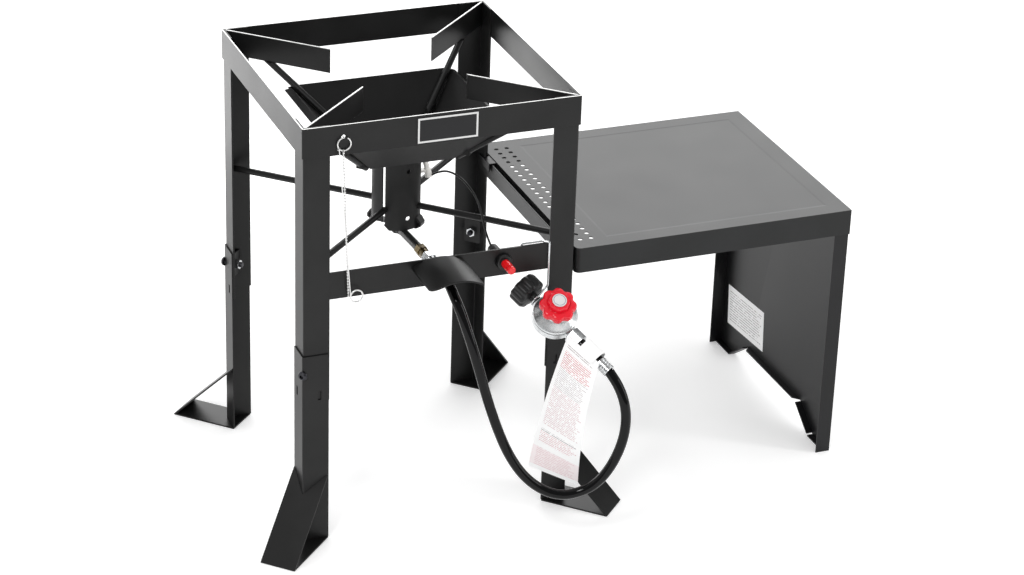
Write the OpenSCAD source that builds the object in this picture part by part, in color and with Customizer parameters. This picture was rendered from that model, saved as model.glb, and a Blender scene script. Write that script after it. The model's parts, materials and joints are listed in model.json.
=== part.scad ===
// Propane burner stand for brewing: a four-legged angle-steel frame with a tube
// burner, a wind guard, a hung regulator with its hose and a lift-off side table.
// Millimetres, +Z up. The origin is on the floor under the middle of the frame,
// +X runs along the front towards the side table and -Y faces the front.

/* [Frame] */
// Width of the frame over the top band
frame_w = 406.4; // [380:0.1:420]
// Depth of the frame over the top band
frame_d = 386.5; // [370:0.1:400]
// Height of the band's top edge over the floor
frame_h = 642; // [630:1:660]
// Height of the band around the top
band_h = 44; // [40:1:50]
// Sheet thickness of the band, the lower legs and the end panel
sheet_t = 2; // [1.5:0.1:2.5]
// Width of one flange of an upper leg
upper_leg_w = 38; // [34:0.5:42]
// Thickness of an upper leg
upper_leg_t = 2.5; // [2:0.1:3]

/* [Lower legs and feet] */
// Width of one flange of a lower leg
lower_leg_w = 38.7; // [36:0.1:42]
// Height of a lower leg's top edge
lower_leg_top = 297.5; // [280:0.5:310]
// Height of an upper leg's bottom edge, inside the lower leg
upper_leg_bottom = 224; // [180:1:240]
// Height of the bolt through each leg's corner
leg_bolt_z = 269; // [255:1:280]
// Length of a foot outwards from the chord between the leg's flange ends
foot_reach = 106.6; // [90:0.2:115]
// Thickness of a foot's strip
foot_t = 2.5; // [2:0.1:3]

/* [Pot supports and wind guard] */
// Height of a pot support bar
support_h = 37; // [32:1:42]
// Distance along X from the middle to a pot support's free end
support_free_x = 77; // [60:1:100]
// Diameter of the brace rods and the burner arms
rod_d = 9.5; // [8:0.5:11]
// Half width of the wind guard at its top edge
guard_top_x = 123.5; // [110:0.5:130]
// Height of the wind guard's top edge
guard_top_z = 573.5; // [560:0.5:580]
// Half width of the wind guard at its bottom edge
guard_bottom_x = 68; // [60:0.5:80]
// Height of the wind guard's bottom edge
guard_bottom_z = 512; // [505:1:520]

/* [Burner] */
// Outer diameter of the burner tube
burner_d = 71; // [66:0.5:76]
// Height of the burner tube's lower rim
burner_bottom = 393; // [390:0.5:398]
// Height of the burner tube's upper rim
burner_top = 516; // [505:1:525]
// Height of the four arms that hold the burner tube
arm_z = 425; // [422:0.5:435]

/* [Front crossbar] */
// Height of the crossbar's lower edge
bar_bottom = 381; // [378:0.5:384]
// Height of the crossbar's upper edge
bar_top = 421.5; // [419:0.5:423]
// Thickness of the crossbar
bar_t = 3; // [2.5:0.1:4]
// Distance along X of the gas inlet's axis from the middle
inlet_x = 3; // [0:0.5:6]
// Rise of the inlet's axis towards the front, in degrees
inlet_rise = 4.2; // [2:0.1:6]
// Distance along X of the igniter's axis from the middle
igniter_x = 93; // [85:0.5:100]
// Height of the igniter's axis
igniter_z = 403; // [400:0.5:406]
// Travel of the igniter button
button_travel = 6; // [4:0.5:8]

/* [Side table] */
// Distance from the frame's middle to the tray's left edge
tray_x0 = 204.5; // [204.3:0.1:206]
// Distance from the frame's middle to the tray's right face
tray_x1 = 642; // [600:1:660]
// Front edge of the tray
tray_y0 = -193; // [-200:0.5:-185]
// Back edge of the tray
tray_y1 = 198; // [190:0.5:205]
// Height of the tray's top face
tray_top = 406; // [404:0.5:410]
// Sheet thickness of the tray
tray_t = 1.2; // [1:0.1:2]
// Height of the tray's flanges
tray_flange = 38.8; // [30:0.2:45]
// Width of the end panel's side flanges
panel_flange = 22.5; // [18:0.5:26]

/* [Regulator and hose] */
// Radius of the regulator's body
regulator_r = 32; // [30:0.5:34]
// Outer diameter of the hose
hose_d = 14.5; // [13:0.5:16]

/* [Hidden] */
$fn = 48;
e = 0.01;
half_w = frame_w / 2;
half_d = frame_d / 2;
// Plane of the upper legs' outer faces, which the crossbar and the rail follow
leg_x = half_w - sheet_t;
leg_y = half_d - sheet_t;
// Inner faces of the upper legs
in_x = leg_x - upper_leg_t;
in_y = leg_y - upper_leg_t;
band_bottom = frame_h - band_h;
support_bottom = frame_h - support_h;
// Angle of the frame's diagonal in plan
diag = atan2(frame_d, frame_w);
depth_ratio = frame_d / frame_w;
corners = [[-1, -1], [1, -1], [-1, 1], [1, 1]];
burner_r = burner_d / 2;
burner_t = 2.5;

// Chain set on the band's left front
chain_hole = [-145, 624.4];
ring_r = 9.5;
ring_wire = 2;
ring_y = -half_d - 3.1;
bead_d = 3.2;
bead_count = 48;

// Inlet train, measured along its axis from the elbow's centre under the burner
elbow_z = 383.9;
jet_z = burner_bottom + 2.5;
pipe_d = 12.7;
pipe_start = 16;
coupling_start = 96;
swivel_start = 128.3;
ferrule_start = 146.4;
ferrule_end = 170.5;
inlet_dir = [0, -cos(inlet_rise), sin(inlet_rise)];
function inlet_point(u) = [inlet_x, 0, elbow_z] + u * inlet_dir;

// Regulator: local +X is the way out to the hose and local +Z the knob's axis
regulator_pos = [157, -233, 323.5];
regulator_turn = [22, 27.5, -59];
boss_end = 34;
sleeve_start = 54;
outlet_ferrule = 92;
outlet_end = 112;
outlet_dir = turned([1, 0, 0], regulator_turn);
function outlet_point(s) = regulator_pos + s * outlet_dir;

// Route of the hose's middle line from the inlet ferrule to the outlet ferrule
hose_route = [
    inlet_point(ferrule_end), [3, -184, 397], [3, -198, 396.2], [3, -211.5, 393],
    [3.5, -224, 387.4], [5, -235.5, 379], [8, -245.5, 367.5], [12, -254, 351],
    [17.5, -261.5, 329], [24, -268, 303], [31, -274, 274], [38, -279, 245], [46, -285, 215],
    [55, -291, 186], [65.5, -297, 158.5], [78, -303, 134.5], [92, -308.5, 115.5],
    [108, -314, 101], [126, -320.5, 91.5], [145, -326.5, 88.5], [163, -331.5, 92],
    [179.5, -336.5, 100.5], [193, -340.5, 113.5], [204, -343.5, 130], [213, -345.5, 149],
    [220, -347, 171], [224, -347, 194], [224.5, -345, 217], [221.5, -340, 238],
    [216, -331, 256], outlet_point(outlet_end)
];
// Route of the ignition wire from the electrode to the igniter
ignition_route = [
    [52.7, -6.8, 462.3], [54.5, -9.9, 465], [58.2, -17.2, 470], [64, -32, 477], [70, -53, 480.5],
    [76, -78, 478], [82, -104, 466.5], [86, -119, 448], [88.5, -128, 428], [90.5, -134, 416],
    [92, -139.5, 409], [92.8, -144, 405.2], [93, -148.5, 403.3], [93, -152, 403]
];

// ---- Helpers ----

function unit(v) = v / norm(v);
function about_x(v, a) = [v.x, v.y * cos(a) - v.z * sin(a), v.y * sin(a) + v.z * cos(a)];
function about_y(v, a) = [v.x * cos(a) + v.z * sin(a), v.y, v.z * cos(a) - v.x * sin(a)];
function about_z(v, a) = [v.x * cos(a) - v.y * sin(a), v.x * sin(a) + v.y * cos(a), v.z];
// The vector v after rotate(r)
function turned(v, r) = about_z(about_y(about_x(v, r.x), r.y), r.z);

// Ring frames carried along a list of directions without twisting
function carried(dirs, side, i = 0) =
    i >= len(dirs) ? []
    : let (next = unit(side - (side * dirs[i]) * dirs[i]))
      concat([next], carried(dirs, next, i + 1));

// One closed tube along the points of a route
module swept_tube(route, d, first_dir, last_dir, sides) {
    n = len(route);
    dirs = [for (i = [0:n - 1])
        i == 0 ? unit(first_dir) : i == n - 1 ? unit(last_dir) : unit(route[i + 1] - route[i - 1])];
    side = carried(dirs, unit(cross(first_dir, [0.3, 0.1, 1])));
    points = [for (i = [0:n - 1]) for (k = [0:sides - 1])
        route[i] + d / 2 * (cos(360 * k / sides) * side[i]
                            + sin(360 * k / sides) * cross(dirs[i], side[i]))];
    walls = [for (i = [0:n - 2]) for (k = [0:sides - 1])
        let (a = i * sides + k, b = i * sides + (k + 1) % sides)
        [a, a + sides, b + sides, b]];
    start = [for (k = [0:sides - 1]) k];
    end = [for (k = [sides - 1:-1:0]) (n - 1) * sides + k];
    polyhedron(points, concat([start], walls, [end]), convexity = 6);
}

// Round bar from point a to point b
module rod(a, b, d, turn = 0) {
    v = b - a;
    translate(a) rotate([0, acos(v.z / norm(v)), atan2(v.y, v.x)]) rotate([0, 0, turn])
        cylinder(d = d, h = norm(v));
}

// Round bar through a list of points, with a ball at each bend
module bent_rod(points, d) {
    for (i = [0:len(points) - 2]) rod(points[i], points[i + 1], d);
    for (i = [0:len(points) - 1]) translate(points[i]) sphere(d = d);
}

// Hexagon across its flats, as a plate of height h
module hex(flats, h) {
    cylinder(d = flats / cos(30), h = h, $fn = 6);
}

// Turns the local +Z of its children to point along -Y
module facing_front() {
    rotate([90, 0, 0]) children();
}

// Mirrors its children from the +X +Y corner to the given corner
module at_corner(corner) {
    mirror([corner.x < 0 ? 1 : 0, 0, 0]) mirror([0, corner.y < 0 ? 1 : 0, 0]) children();
}

// Puts its children on the inlet's axis, with local +Z towards the front
module on_inlet(u = 0) {
    translate(inlet_point(u)) rotate([90 - inlet_rise, 0, 0]) children();
}

// Puts its children in the regulator's own frame
module on_regulator() {
    translate(regulator_pos) rotate(regulator_turn) children();
}

// Turns local +Z to the regulator's way out, local +X
module along_outlet(s = 0) {
    on_regulator() translate([s, 0, 0]) rotate([0, 90, 0]) children();
}

// Square in the +X +Y quadrant with its corner at the origin rounded
module corner_square(size, r) {
    translate([r, 0]) square([size - r, size]);
    translate([0, r]) square([size, size - r]);
    if (r > 0) translate([r, r]) circle(r = r);
}

// L section with its outer corner at the origin
module angle_section(size, t, r_out, r_in) {
    difference() {
        corner_square(size, r_out);
        translate([t, t]) corner_square(size, r_in);
    }
}

// Puts an L section's children at the +X +Y corner of a w by d frame, opening inwards
module from_corner(x, y) {
    translate([x, y, 0]) rotate([0, 0, 180]) children();
}

module rounded_rect(w, d, r) {
    square([w - 2 * r, d], center = true);
    square([w, d - 2 * r], center = true);
    for (c = corners) translate([c.x * (w / 2 - r), c.y * (d / 2 - r)]) circle(r = r);
}

// ---- Upper frame ----

module top_band() {
    color("#303134") difference() {
        translate([0, 0, band_bottom]) linear_extrude(band_h) difference() {
            rounded_rect(frame_w, frame_d, 3);
            rounded_rect(2 * leg_x, 2 * leg_y, 1);
        }
        translate([chain_hole.x, -leg_y + 1, chain_hole.y]) facing_front() cylinder(d = 6, h = 10);
    }
}

module upper_leg(corner) {
    color("#303134") at_corner(corner) difference() {
        translate([0, 0, upper_leg_bottom]) from_corner(leg_x, leg_y)
            linear_extrude(frame_h - upper_leg_bottom)
                angle_section(upper_leg_w, upper_leg_t, 3, 0);
        corner_bolt_axis() cylinder(d = 8.6, h = 20, center = true);
    }
}

// A flat bar on edge along the diagonal, its outer end cut to the leg's corner
module pot_support(corner) {
    color("#303134") at_corner(corner) intersection() {
        rotate([0, 0, diag]) translate([0, -1.5, support_bottom]) cube([frame_w, 3, support_h]);
        translate([support_free_x, 0, 0]) cube([in_x - support_free_x, in_y, frame_h]);
    }
}

// Heights of a brace rod and of a gap rod at the distance x along X
function brace_z(x) = 458 + x;
function gap_z(x) = 445.5 + x;
function on_diagonal(x, z) = [x, x * depth_ratio, z];

module brace_rod() {
    top_x = support_bottom - 458;
    intersection() {
        rod(on_diagonal(60, brace_z(60)), on_diagonal(top_x + 20, brace_z(top_x + 20)), rod_d, 90);
        translate([70, 0, 0]) cube([200, 200, support_bottom]);
    }
}

// Second rod, which closes the gap between two guard plates along the diagonal
module gap_rod() {
    rod(on_diagonal(69, gap_z(69)), on_diagonal(guard_top_x, gap_z(guard_top_x)), rod_d, 90);
}

// Weld block on the diagonal that joins a rod to the two plates beside it
module weld_block(x) {
    length = 9;
    rotate([0, 0, diag]) translate([x / cos(diag) - length / 2, -guard_gap, guard_z(x) - 5])
        cube([length, 2 * guard_gap, brace_z(x) - guard_z(x) + 5]);
}

// Four pairs of rods from the pot supports down to the wind guard, with their welds
module corner_braces() {
    color("#303134") for (c = corners) at_corner(c) {
        brace_rod();
        gap_rod();
        for (x = [guard_bottom_x + 12, guard_top_x - 9]) weld_block(x);
    }
}

// ---- Wind guard ----

// Height of a guard plate's upper face at the distance x from the middle
function guard_z(x) = guard_bottom_z
    + (x - guard_bottom_x) * (guard_top_z - guard_bottom_z) / (guard_top_x - guard_bottom_x);
guard_slope = atan2(guard_top_z - guard_bottom_z, guard_top_x - guard_bottom_x);
guard_slope_y = atan2(guard_top_z - guard_bottom_z, (guard_top_x - guard_bottom_x) * depth_ratio);
guard_gap = 5.2;
lip_w = 10;

// Section of a plate in its own sloping plane: run is the distance from the middle
module guard_section(bottom_run, top_run, slope) {
    lip_run = lip_w * cos(35);
    lip_drop = lip_w * sin(35);
    under = sheet_t / sin(slope);
    polygon([
        [bottom_run, guard_bottom_z], [top_run, guard_top_z],
        [top_run + lip_run, guard_top_z - lip_drop],
        [top_run + lip_run - 1.1, guard_top_z - lip_drop - 1.6],
        [top_run + under / 3, guard_top_z - 2.4], [bottom_run + under, guard_bottom_z]
    ]);
}

// The plate on the +X side, mitred short of the diagonals on both ends
module guard_plate_x() {
    intersection() {
        rotate([90, 0, 0]) linear_extrude(frame_d, center = true)
            guard_section(guard_bottom_x, guard_top_x, guard_slope);
        linear_extrude(frame_h) polygon([
            [guard_gap / sin(diag), 0],
            [frame_w, (frame_w - guard_gap / sin(diag)) * depth_ratio],
            [frame_w, (guard_gap / sin(diag) - frame_w) * depth_ratio]
        ]);
    }
}

// The plate on the +Y side
module guard_plate_y() {
    intersection() {
        rotate([90, 0, 90]) linear_extrude(frame_w, center = true)
            guard_section(guard_bottom_x * depth_ratio, guard_top_x * depth_ratio, guard_slope_y);
        linear_extrude(frame_h) polygon([
            [0, guard_gap / cos(diag)],
            [(frame_d - guard_gap / cos(diag)) / depth_ratio, frame_d],
            [(guard_gap / cos(diag) - frame_d) / depth_ratio, frame_d]
        ]);
    }
}

module guard_plates() {
    guard_plate_x();
    mirror([1, 0, 0]) guard_plate_x();
    guard_plate_y();
    mirror([0, 1, 0]) guard_plate_y();
}

module wind_guard() {
    color("#2a2b2d") guard_plates();
}

// ---- Burner ----

// Four rods from the burner tube to the legs' inner corners
module burner_arms() {
    color("#303134") for (c = corners) at_corner(c) difference() {
        intersection() {
            rod([0, 0, arm_z], on_diagonal(half_w, arm_z), rod_d);
            cube([in_x, in_y, frame_h]);
        }
        cylinder(r = burner_r, h = frame_h);
    }
}

// Rolled tube with a seam slot, an air slot, two round holes and a window in its lower rim
module burner_tube() {
    color("#2c2d2f") difference() {
        translate([0, 0, burner_bottom]) cylinder(r = burner_r, h = burner_top - burner_bottom);
        translate([0, 0, burner_bottom - e])
            cylinder(r = burner_r - burner_t, h = burner_top - burner_bottom + 1);
        // Air window in the lower rim
        rotate([0, 0, 198]) translate([20, 0, burner_bottom]) rotate([90, 0, 90])
            linear_extrude(20) polygon([[-20, -1], [-14, 13], [9, 13], [22, -1]]);
        // Seam slot in front, air slot at the back
        rotate([0, 0, 220.5]) translate([burner_r - 5, -2.25, burner_bottom + 8])
            cube([10, 4.5, 96]);
        rotate([0, 0, 101]) translate([burner_r - 5, -3, burner_bottom + 3]) cube([10, 6, 100]);
        translate([6.6, 0, 484.6]) facing_front() cylinder(d = 7, h = 60);
        translate([6.2, 0, 411]) facing_front() cylinder(d = 7, h = 60);
    }
}

// Elbow that turns the gas upwards, on a strap under the tube with its ends bent up outside
module burner_elbow() {
    color("#2c2c2e") difference() {
        union() {
            translate([inlet_x, 0, elbow_z - 8]) cylinder(d = 16, h = jet_z - elbow_z + 8);
            on_inlet() cylinder(d = 15, h = pipe_start);
            rotate([0, 0, -diag]) translate([0, 7, burner_bottom]) rotate([90, 0, 0])
                linear_extrude(14) polygon([
                    [-35.5, -2.5], [35.5, -2.5], [42.5, 2], [43, 7], [38, 14.5], [35.5, 15.5],
                    [35.5, 13], [40.3, 6.5], [40, 3.3], [35.5, 0], [-35.5, 0], [-40, 3.3],
                    [-40.3, 6.5], [-35.5, 13], [-35.5, 15.5], [-38, 14.5], [-43, 7], [-42.5, 2]
                ]);
        }
        translate([inlet_x, 0, elbow_z]) cylinder(d = 6, h = 20);
        on_inlet() cylinder(d = 8, h = pipe_start + 1);
    }
}

module gas_jet() {
    color("#b08d3c") translate([inlet_x, 0, jet_z]) difference() {
        union() {
            hex(12, 6);
            translate([0, 0, 6]) cylinder(d1 = 9, d2 = 5, h = 8);
        }
        translate([0, 0, -e]) cylinder(d = 3, h = 12);
        cylinder(d = 1.2, h = 20);
    }
}

// Round plate over the tube's mouth on three feet
module flame_spreader() {
    spreader_z = burner_top - 6;
    color("#3a3a3c") {
        translate([0, 0, spreader_z]) difference() {
            cylinder(r = 24, h = 2.5);
            for (a = [0:60:300]) rotate([0, 0, a]) translate([14, 0, -e]) cylinder(d = 5, h = 3);
        }
        for (a = [30:120:270]) rotate([0, 0, a])
            translate([23, -3, spreader_z]) cube([burner_r - burner_t - 23.2, 6, 2.5]);
    }
}

module gas_pipe() {
    color("#26272a") on_inlet(pipe_start) difference() {
        cylinder(d = pipe_d, h = coupling_start - pipe_start);
        translate([0, 0, -e]) cylinder(d = 8, h = coupling_start);
    }
}

module brass_coupling() {
    color("#5a4c2c") on_inlet(coupling_start) difference() {
        union() {
            hex(16, 15);
            translate([0, 0, 15]) cylinder(d = 15, h = swivel_start - coupling_start - 15);
        }
        translate([0, 0, -e]) cylinder(d = 7, h = 40);
    }
}

module swivel_nut() {
    color("#b9bbbd") on_inlet(swivel_start) difference() {
        hex(18, ferrule_start - swivel_start);
        translate([0, 0, -e]) cylinder(d = 7, h = 20);
    }
}

// Crimped sleeves at the hose's two ends
module hose_ferrules() {
    color("#c2c4c6") {
        on_inlet(ferrule_start) cylinder(d = 17, h = ferrule_end - ferrule_start);
        along_outlet(outlet_ferrule) cylinder(d = 18.5, h = outlet_end - outlet_ferrule);
    }
}

module gas_hose() {
    color("#1b1b1d") swept_tube(hose_route, hose_d, inlet_dir, -outlet_dir, 12);
}

// ---- Front crossbar ----

module front_crossbar() {
    length = 2 * (leg_x - upper_leg_w);
    color("#303134") difference() {
        translate([-length / 2, -leg_y, bar_bottom]) cube([length, bar_t, bar_top - bar_bottom]);
        on_inlet(150) cylinder(d = 22, h = 60);
        translate([igniter_x, -leg_y + bar_t + 1, igniter_z]) facing_front()
            cylinder(d = 16.2, h = bar_t + 2);
    }
}

// Arched sheet over the hose, welded to the crossbar's front
module hose_shield() {
    crown_x = -3;
    crown_z = 424.5;
    arch_r = 72;
    length = 84;
    left = crown_x - 40.5;
    right = crown_x + 36.5;
    front = -leg_y - length;
    color("#303134") intersection() {
        translate([crown_x, -leg_y, crown_z - arch_r]) facing_front() difference() {
            cylinder(r = arch_r, h = length, $fn = 96);
            translate([0, 0, -e]) cylinder(r = arch_r - 2.5, h = length + 1, $fn = 96);
        }
        translate([0, 0, crown_z - 20]) linear_extrude(30) {
            translate([left + 17, front]) square([right - left - 19, length]);
            translate([left, front + 17]) square([right - left - 2, length - 17]);
            translate([right - 3, front + 2]) square([3, length - 2]);
            translate([left + 17, front + 17]) circle(r = 17);
            translate([right - 2, front + 2]) circle(r = 2);
        }
    }
}

// ---- Igniter ----

igniter_front = -leg_y - 9.8;
igniter_back = -150;
button_bore_end = -158;
button_r = 6.25;

// Puts its children on the igniter's axis at y, with local +Z towards the front
module on_igniter(y) {
    translate([igniter_x, y, igniter_z]) facing_front() children();
}

module igniter_body() {
    color("#1d1d20") difference() {
        union() {
            on_igniter(igniter_back) cylinder(d = 16, h = igniter_back - igniter_front);
            on_igniter(-leg_y + bar_t + 5) cylinder(d = 21, h = 5);
        }
        on_igniter(button_bore_end) cylinder(r = button_r + 0.1, h = 60);
        on_igniter(igniter_back + 1) cylinder(d = 3.6, h = 5);
    }
}

module igniter_collar() {
    color("#17171a") on_igniter(-leg_y) difference() {
        cylinder(d = 24, h = 8);
        translate([0, 0, -e]) cylinder(d = 16, h = 10);
    }
}

module igniter_button() {
    front = -226;
    back = button_bore_end - button_travel - 8;
    color("#c01820") {
        on_igniter(back) cylinder(r = button_r, h = back - front - 3);
        on_igniter(front + 3) cylinder(r1 = button_r, r2 = button_r - 2, h = 3);
    }
}

// The space that the coil spring fills between the button and the body's end
module igniter_spring() {
    length = button_travel + 8;
    color("#aeb0b2") on_igniter(button_bore_end) difference() {
        cylinder(r = 5.5, h = length);
        translate([0, 0, -e]) cylinder(r = 4.3, h = length + 1);
    }
}

module ignition_wire() {
    color("#151517") swept_tube(ignition_route, 3, ignition_route[1] - ignition_route[0],
        [0, -1, 0], 8);
}

// Ceramic rod with its pin, clipped to the burner tube
module electrode() {
    top = [44, 4, 486];
    low = [49.5, -2.5, 457.5];
    color("#e8e6df") {
        rod(low, low + 12 * unit(top - low), 10.5);
        rod(low + 12 * unit(top - low), top, 8);
    }
    color("#9a9a9a") {
        rod(top, [44, 4, 506], 2);
        rod([44, 4, 505], [40, 4, 514], 1.8);
        difference() {
            translate([30, -4, 466]) cube([21, 8, 4]);
            translate([0, 0, 460]) cylinder(r = burner_r, h = 20);
        }
    }
}

module name_plate() {
    color("#1f1f22") translate([-40, -half_d - 0.8, 599.5]) cube([90, 0.8, 39]);
}

// ---- Chain set ----

// Open ring flat against the band, its upper end bent back through the hole
module chain_ring() {
    centre = [chain_hole.x, ring_y, chain_hole.y - ring_r];
    color("#c6c8ca") {
        translate(centre) rotate([90, 0, 0]) rotate([0, 0, 90])
            rotate_extrude(angle = 330) translate([ring_r, 0]) circle(d = ring_wire);
        rod([chain_hole.x, ring_y, chain_hole.y], [chain_hole.x, -leg_y + 2.5, chain_hole.y],
            ring_wire);
        translate([chain_hole.x, ring_y, chain_hole.y]) sphere(d = ring_wire);
    }
}

// Small eye of 1.2 mm wire that hangs on the ring, facing along it
module wire_eye(centre, turn) {
    translate(centre) rotate([0, turn, 0]) rotate([0, 90, 0])
        rotate_extrude() translate([2.2, 0]) circle(d = 1.2);
}

chain_eye = [-145.84, ring_y, 604.89];
chain_top = [-146.1, ring_y, 601.6];
chain_foot = [-138, -197, 386];

// Ball chain as beads on a thin core
module bead_chain() {
    step = (chain_foot - chain_top) / bead_count;
    color("#c9cbcd") {
        wire_eye(chain_eye, 4.8);
        rod(chain_top, chain_foot, 1.2);
        for (i = [0:bead_count]) translate(chain_top + i * step) sphere(d = bead_d, $fn = 16);
    }
}

// Straight wire with an eye on the ring and a finger ring at its foot
module match_holder() {
    eye = [-152.92, ring_y, 608.72];
    foot_ring = [-127, -200.2, 385.5];
    color("#c9cbcd") {
        wire_eye(eye, 52);
        rod(eye - [0, 2.4, 0], foot_ring + [-8.9, 0, 1], 1.6);
        translate(foot_ring) rotate([90, 0, 0])
            rotate_extrude() translate([9, 0]) circle(d = 2.4);
    }
}

// ---- Rail and lower legs ----

rail_top = tray_top - tray_t - sheet_t;
rail_h = 27;
rail_tongue_y = 177;

module side_rail() {
    clear_y = leg_y - upper_leg_w;
    color("#303134") {
        translate([in_x - 2.5, -clear_y, rail_top - rail_h]) cube([2.5, 2 * clear_y, rail_h]);
        translate([in_x - 2.5, -rail_tongue_y, rail_top - 25]) cube([2.5, 2 * rail_tongue_y, 22]);
    }
}

// Puts its children on the bolt's axis through the +X +Y corner, local +Z outwards
module corner_bolt_axis(outwards = 0) {
    translate([half_w, half_d, leg_bolt_z]) rotate([0, 90, 45]) translate([0, 0, outwards])
        children();
}

module lower_leg(corner) {
    slot_from_corner = 25;
    slot_z = 234;
    color("#303134") at_corner(corner) difference() {
        translate([0, 0, foot_t]) from_corner(half_w, half_d)
            linear_extrude(lower_leg_top - foot_t)
                angle_section(lower_leg_w, sheet_t, 3, 1);
        corner_bolt_axis() cylinder(d = 8.6, h = 20, center = true);
        translate([half_w - 5, half_d - slot_from_corner - 2.5, slot_z - 7]) cube([10, 5, 14]);
        translate([half_w - slot_from_corner - 2.5, half_d - 5, slot_z - 7]) cube([5, 10, 14]);
    }
}

// A strip bent into a base plate and a strap that rises to the leg's flange ends
module foot(corner) {
    width = 54.4;
    toe = 1;
    tip_run = 1.5;
    corner_run = lower_leg_w / sqrt(2);
    under = foot_t * sqrt(2);
    color("#303134") at_corner(corner) difference() {
        translate([half_w, half_d, 0]) rotate([0, 0, 45]) translate([-corner_run, 0, 0])
            rotate([90, 0, 0]) linear_extrude(width, center = true) polygon([
                [0, 0], [foot_reach - 3 * toe, 0], [foot_reach - toe, toe],
                [tip_run, foot_reach - tip_run], [tip_run, foot_reach - tip_run - under],
                [foot_reach - foot_t - under, foot_t], [0, foot_t]
            ]);
        translate([half_w - 100, half_d - 100, foot_t]) cube([100, 100, 200]);
    }
}

// Plates across the upper legs' inner corners that take the leg bolts
module leg_clamp_plates() {
    near = (upper_leg_t + sheet_t) * sqrt(2) + 10.5;
    color("#303134") for (c = corners) at_corner(c)
        difference() {
            translate([half_w, half_d, leg_bolt_z - 19]) rotate([0, 0, 45]) linear_extrude(38)
                polygon([[-near, 10.5], [-near - 3, 13.5], [-near - 3, -13.5], [-near, -10.5]]);
            corner_bolt_axis(-near - 8) cylinder(d = 8.4, h = 12);
        }
}

leg_bolt_plate = (upper_leg_t + sheet_t) * sqrt(2) + 13.5;
module leg_bolts() {
    color("#2b2b2d") for (c = corners) at_corner(c) corner_bolt_axis() {
        translate([0, 0, -1.2]) cylinder(d1 = 14, d2 = 9, h = 4.5);
        translate([0, 0, -31]) cylinder(d = 8, h = 31);
    }
}

module leg_nuts() {
    color("#b5b7b9") for (c = corners) at_corner(c)
        corner_bolt_axis(-leg_bolt_plate - 6.8) difference() {
            hex(13, 6.8);
            translate([0, 0, -e]) cylinder(d = 8, h = 8);
        }
}

// ---- Side table ----

hook_w = 28;
hook_ys = [-152.5, 124.5];

// The tray's outline, moved inwards by inset, with its two left corners rounded
module tray_plan(inset) {
    corner_r = 8;
    depth = tray_y1 - tray_y0;
    translate([tray_x0 + corner_r, tray_y0 + inset])
        square([tray_x1 - inset - tray_x0 - corner_r, depth - 2 * inset]);
    translate([tray_x0 + inset, tray_y0 + corner_r]) square([corner_r, depth - 2 * corner_r]);
    for (y = [tray_y0 + corner_r, tray_y1 - corner_r])
        translate([tray_x0 + corner_r, y]) circle(r = corner_r - inset);
}

// Pressed sheet with a flange all round, two rows of holes and slots for its hooks
module shelf_tray() {
    hole_rows = [221.5, 238.5];
    hole_count = 21;
    hole_pitch = 16.7;
    under = tray_top - tray_flange;
    color("#3a3b3e") difference() {
        translate([0, 0, under]) linear_extrude(tray_flange) tray_plan(0);
        translate([0, 0, under - 1]) linear_extrude(tray_flange - tray_t + 1) tray_plan(tray_t);
        for (x = hole_rows) for (i = [0:hole_count - 1])
            translate([x, 170 - i * hole_pitch, tray_top - 5]) cylinder(d = 7, h = 10);
        for (y = hook_ys) translate([tray_x0 - 1, y - 0.3, rail_top - 0.3])
            cube([tray_t + 2, hook_w + 0.6, sheet_t + 0.3]);
        for (y = panel_screw_y) translate([tray_x1 - 5, y, panel_screw_z]) rotate([0, 90, 0])
            cylinder(d = 6.5, h = 10);
    }
}

// J-shaped tabs that hang the tray over the rail
module shelf_hooks() {
    color("#6a6b6e") for (y = hook_ys) {
        translate([in_x - 6.7, y, rail_top]) cube([36, hook_w, sheet_t]);
        translate([in_x - 6.7, y, rail_top - 11]) cube([sheet_t, hook_w, 11 + e]);
    }
}

panel_screw_y = [-120, 0, 120];
panel_screw_z = 386;
panel_x = tray_x1 - tray_t;
panel_y0 = tray_y0 + tray_t + 0.4;
panel_y1 = tray_y1 - tray_t - 0.4;
panel_foot = 51.5;
panel_slant = 50;
panel_rise = 36;
panel_lip = 10;

// Lip on one slanted edge of the cut-out, short of its bends; side is 1 for the front edge
module slant_lip(y, side) {
    run = [side * panel_slant, panel_rise] / norm([panel_slant, panel_rise]);
    out = [-side * run.y, side * run.x];
    from = [y, 0] + 4 * run;
    to = [y + side * panel_slant, panel_rise] - 3 * run;
    translate([panel_x - sheet_t - panel_lip, 0, 0]) rotate([90, 0, 90])
        linear_extrude(panel_lip + e)
            polygon([from, to, to + sheet_t * out, from + sheet_t * out]);
}

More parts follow.
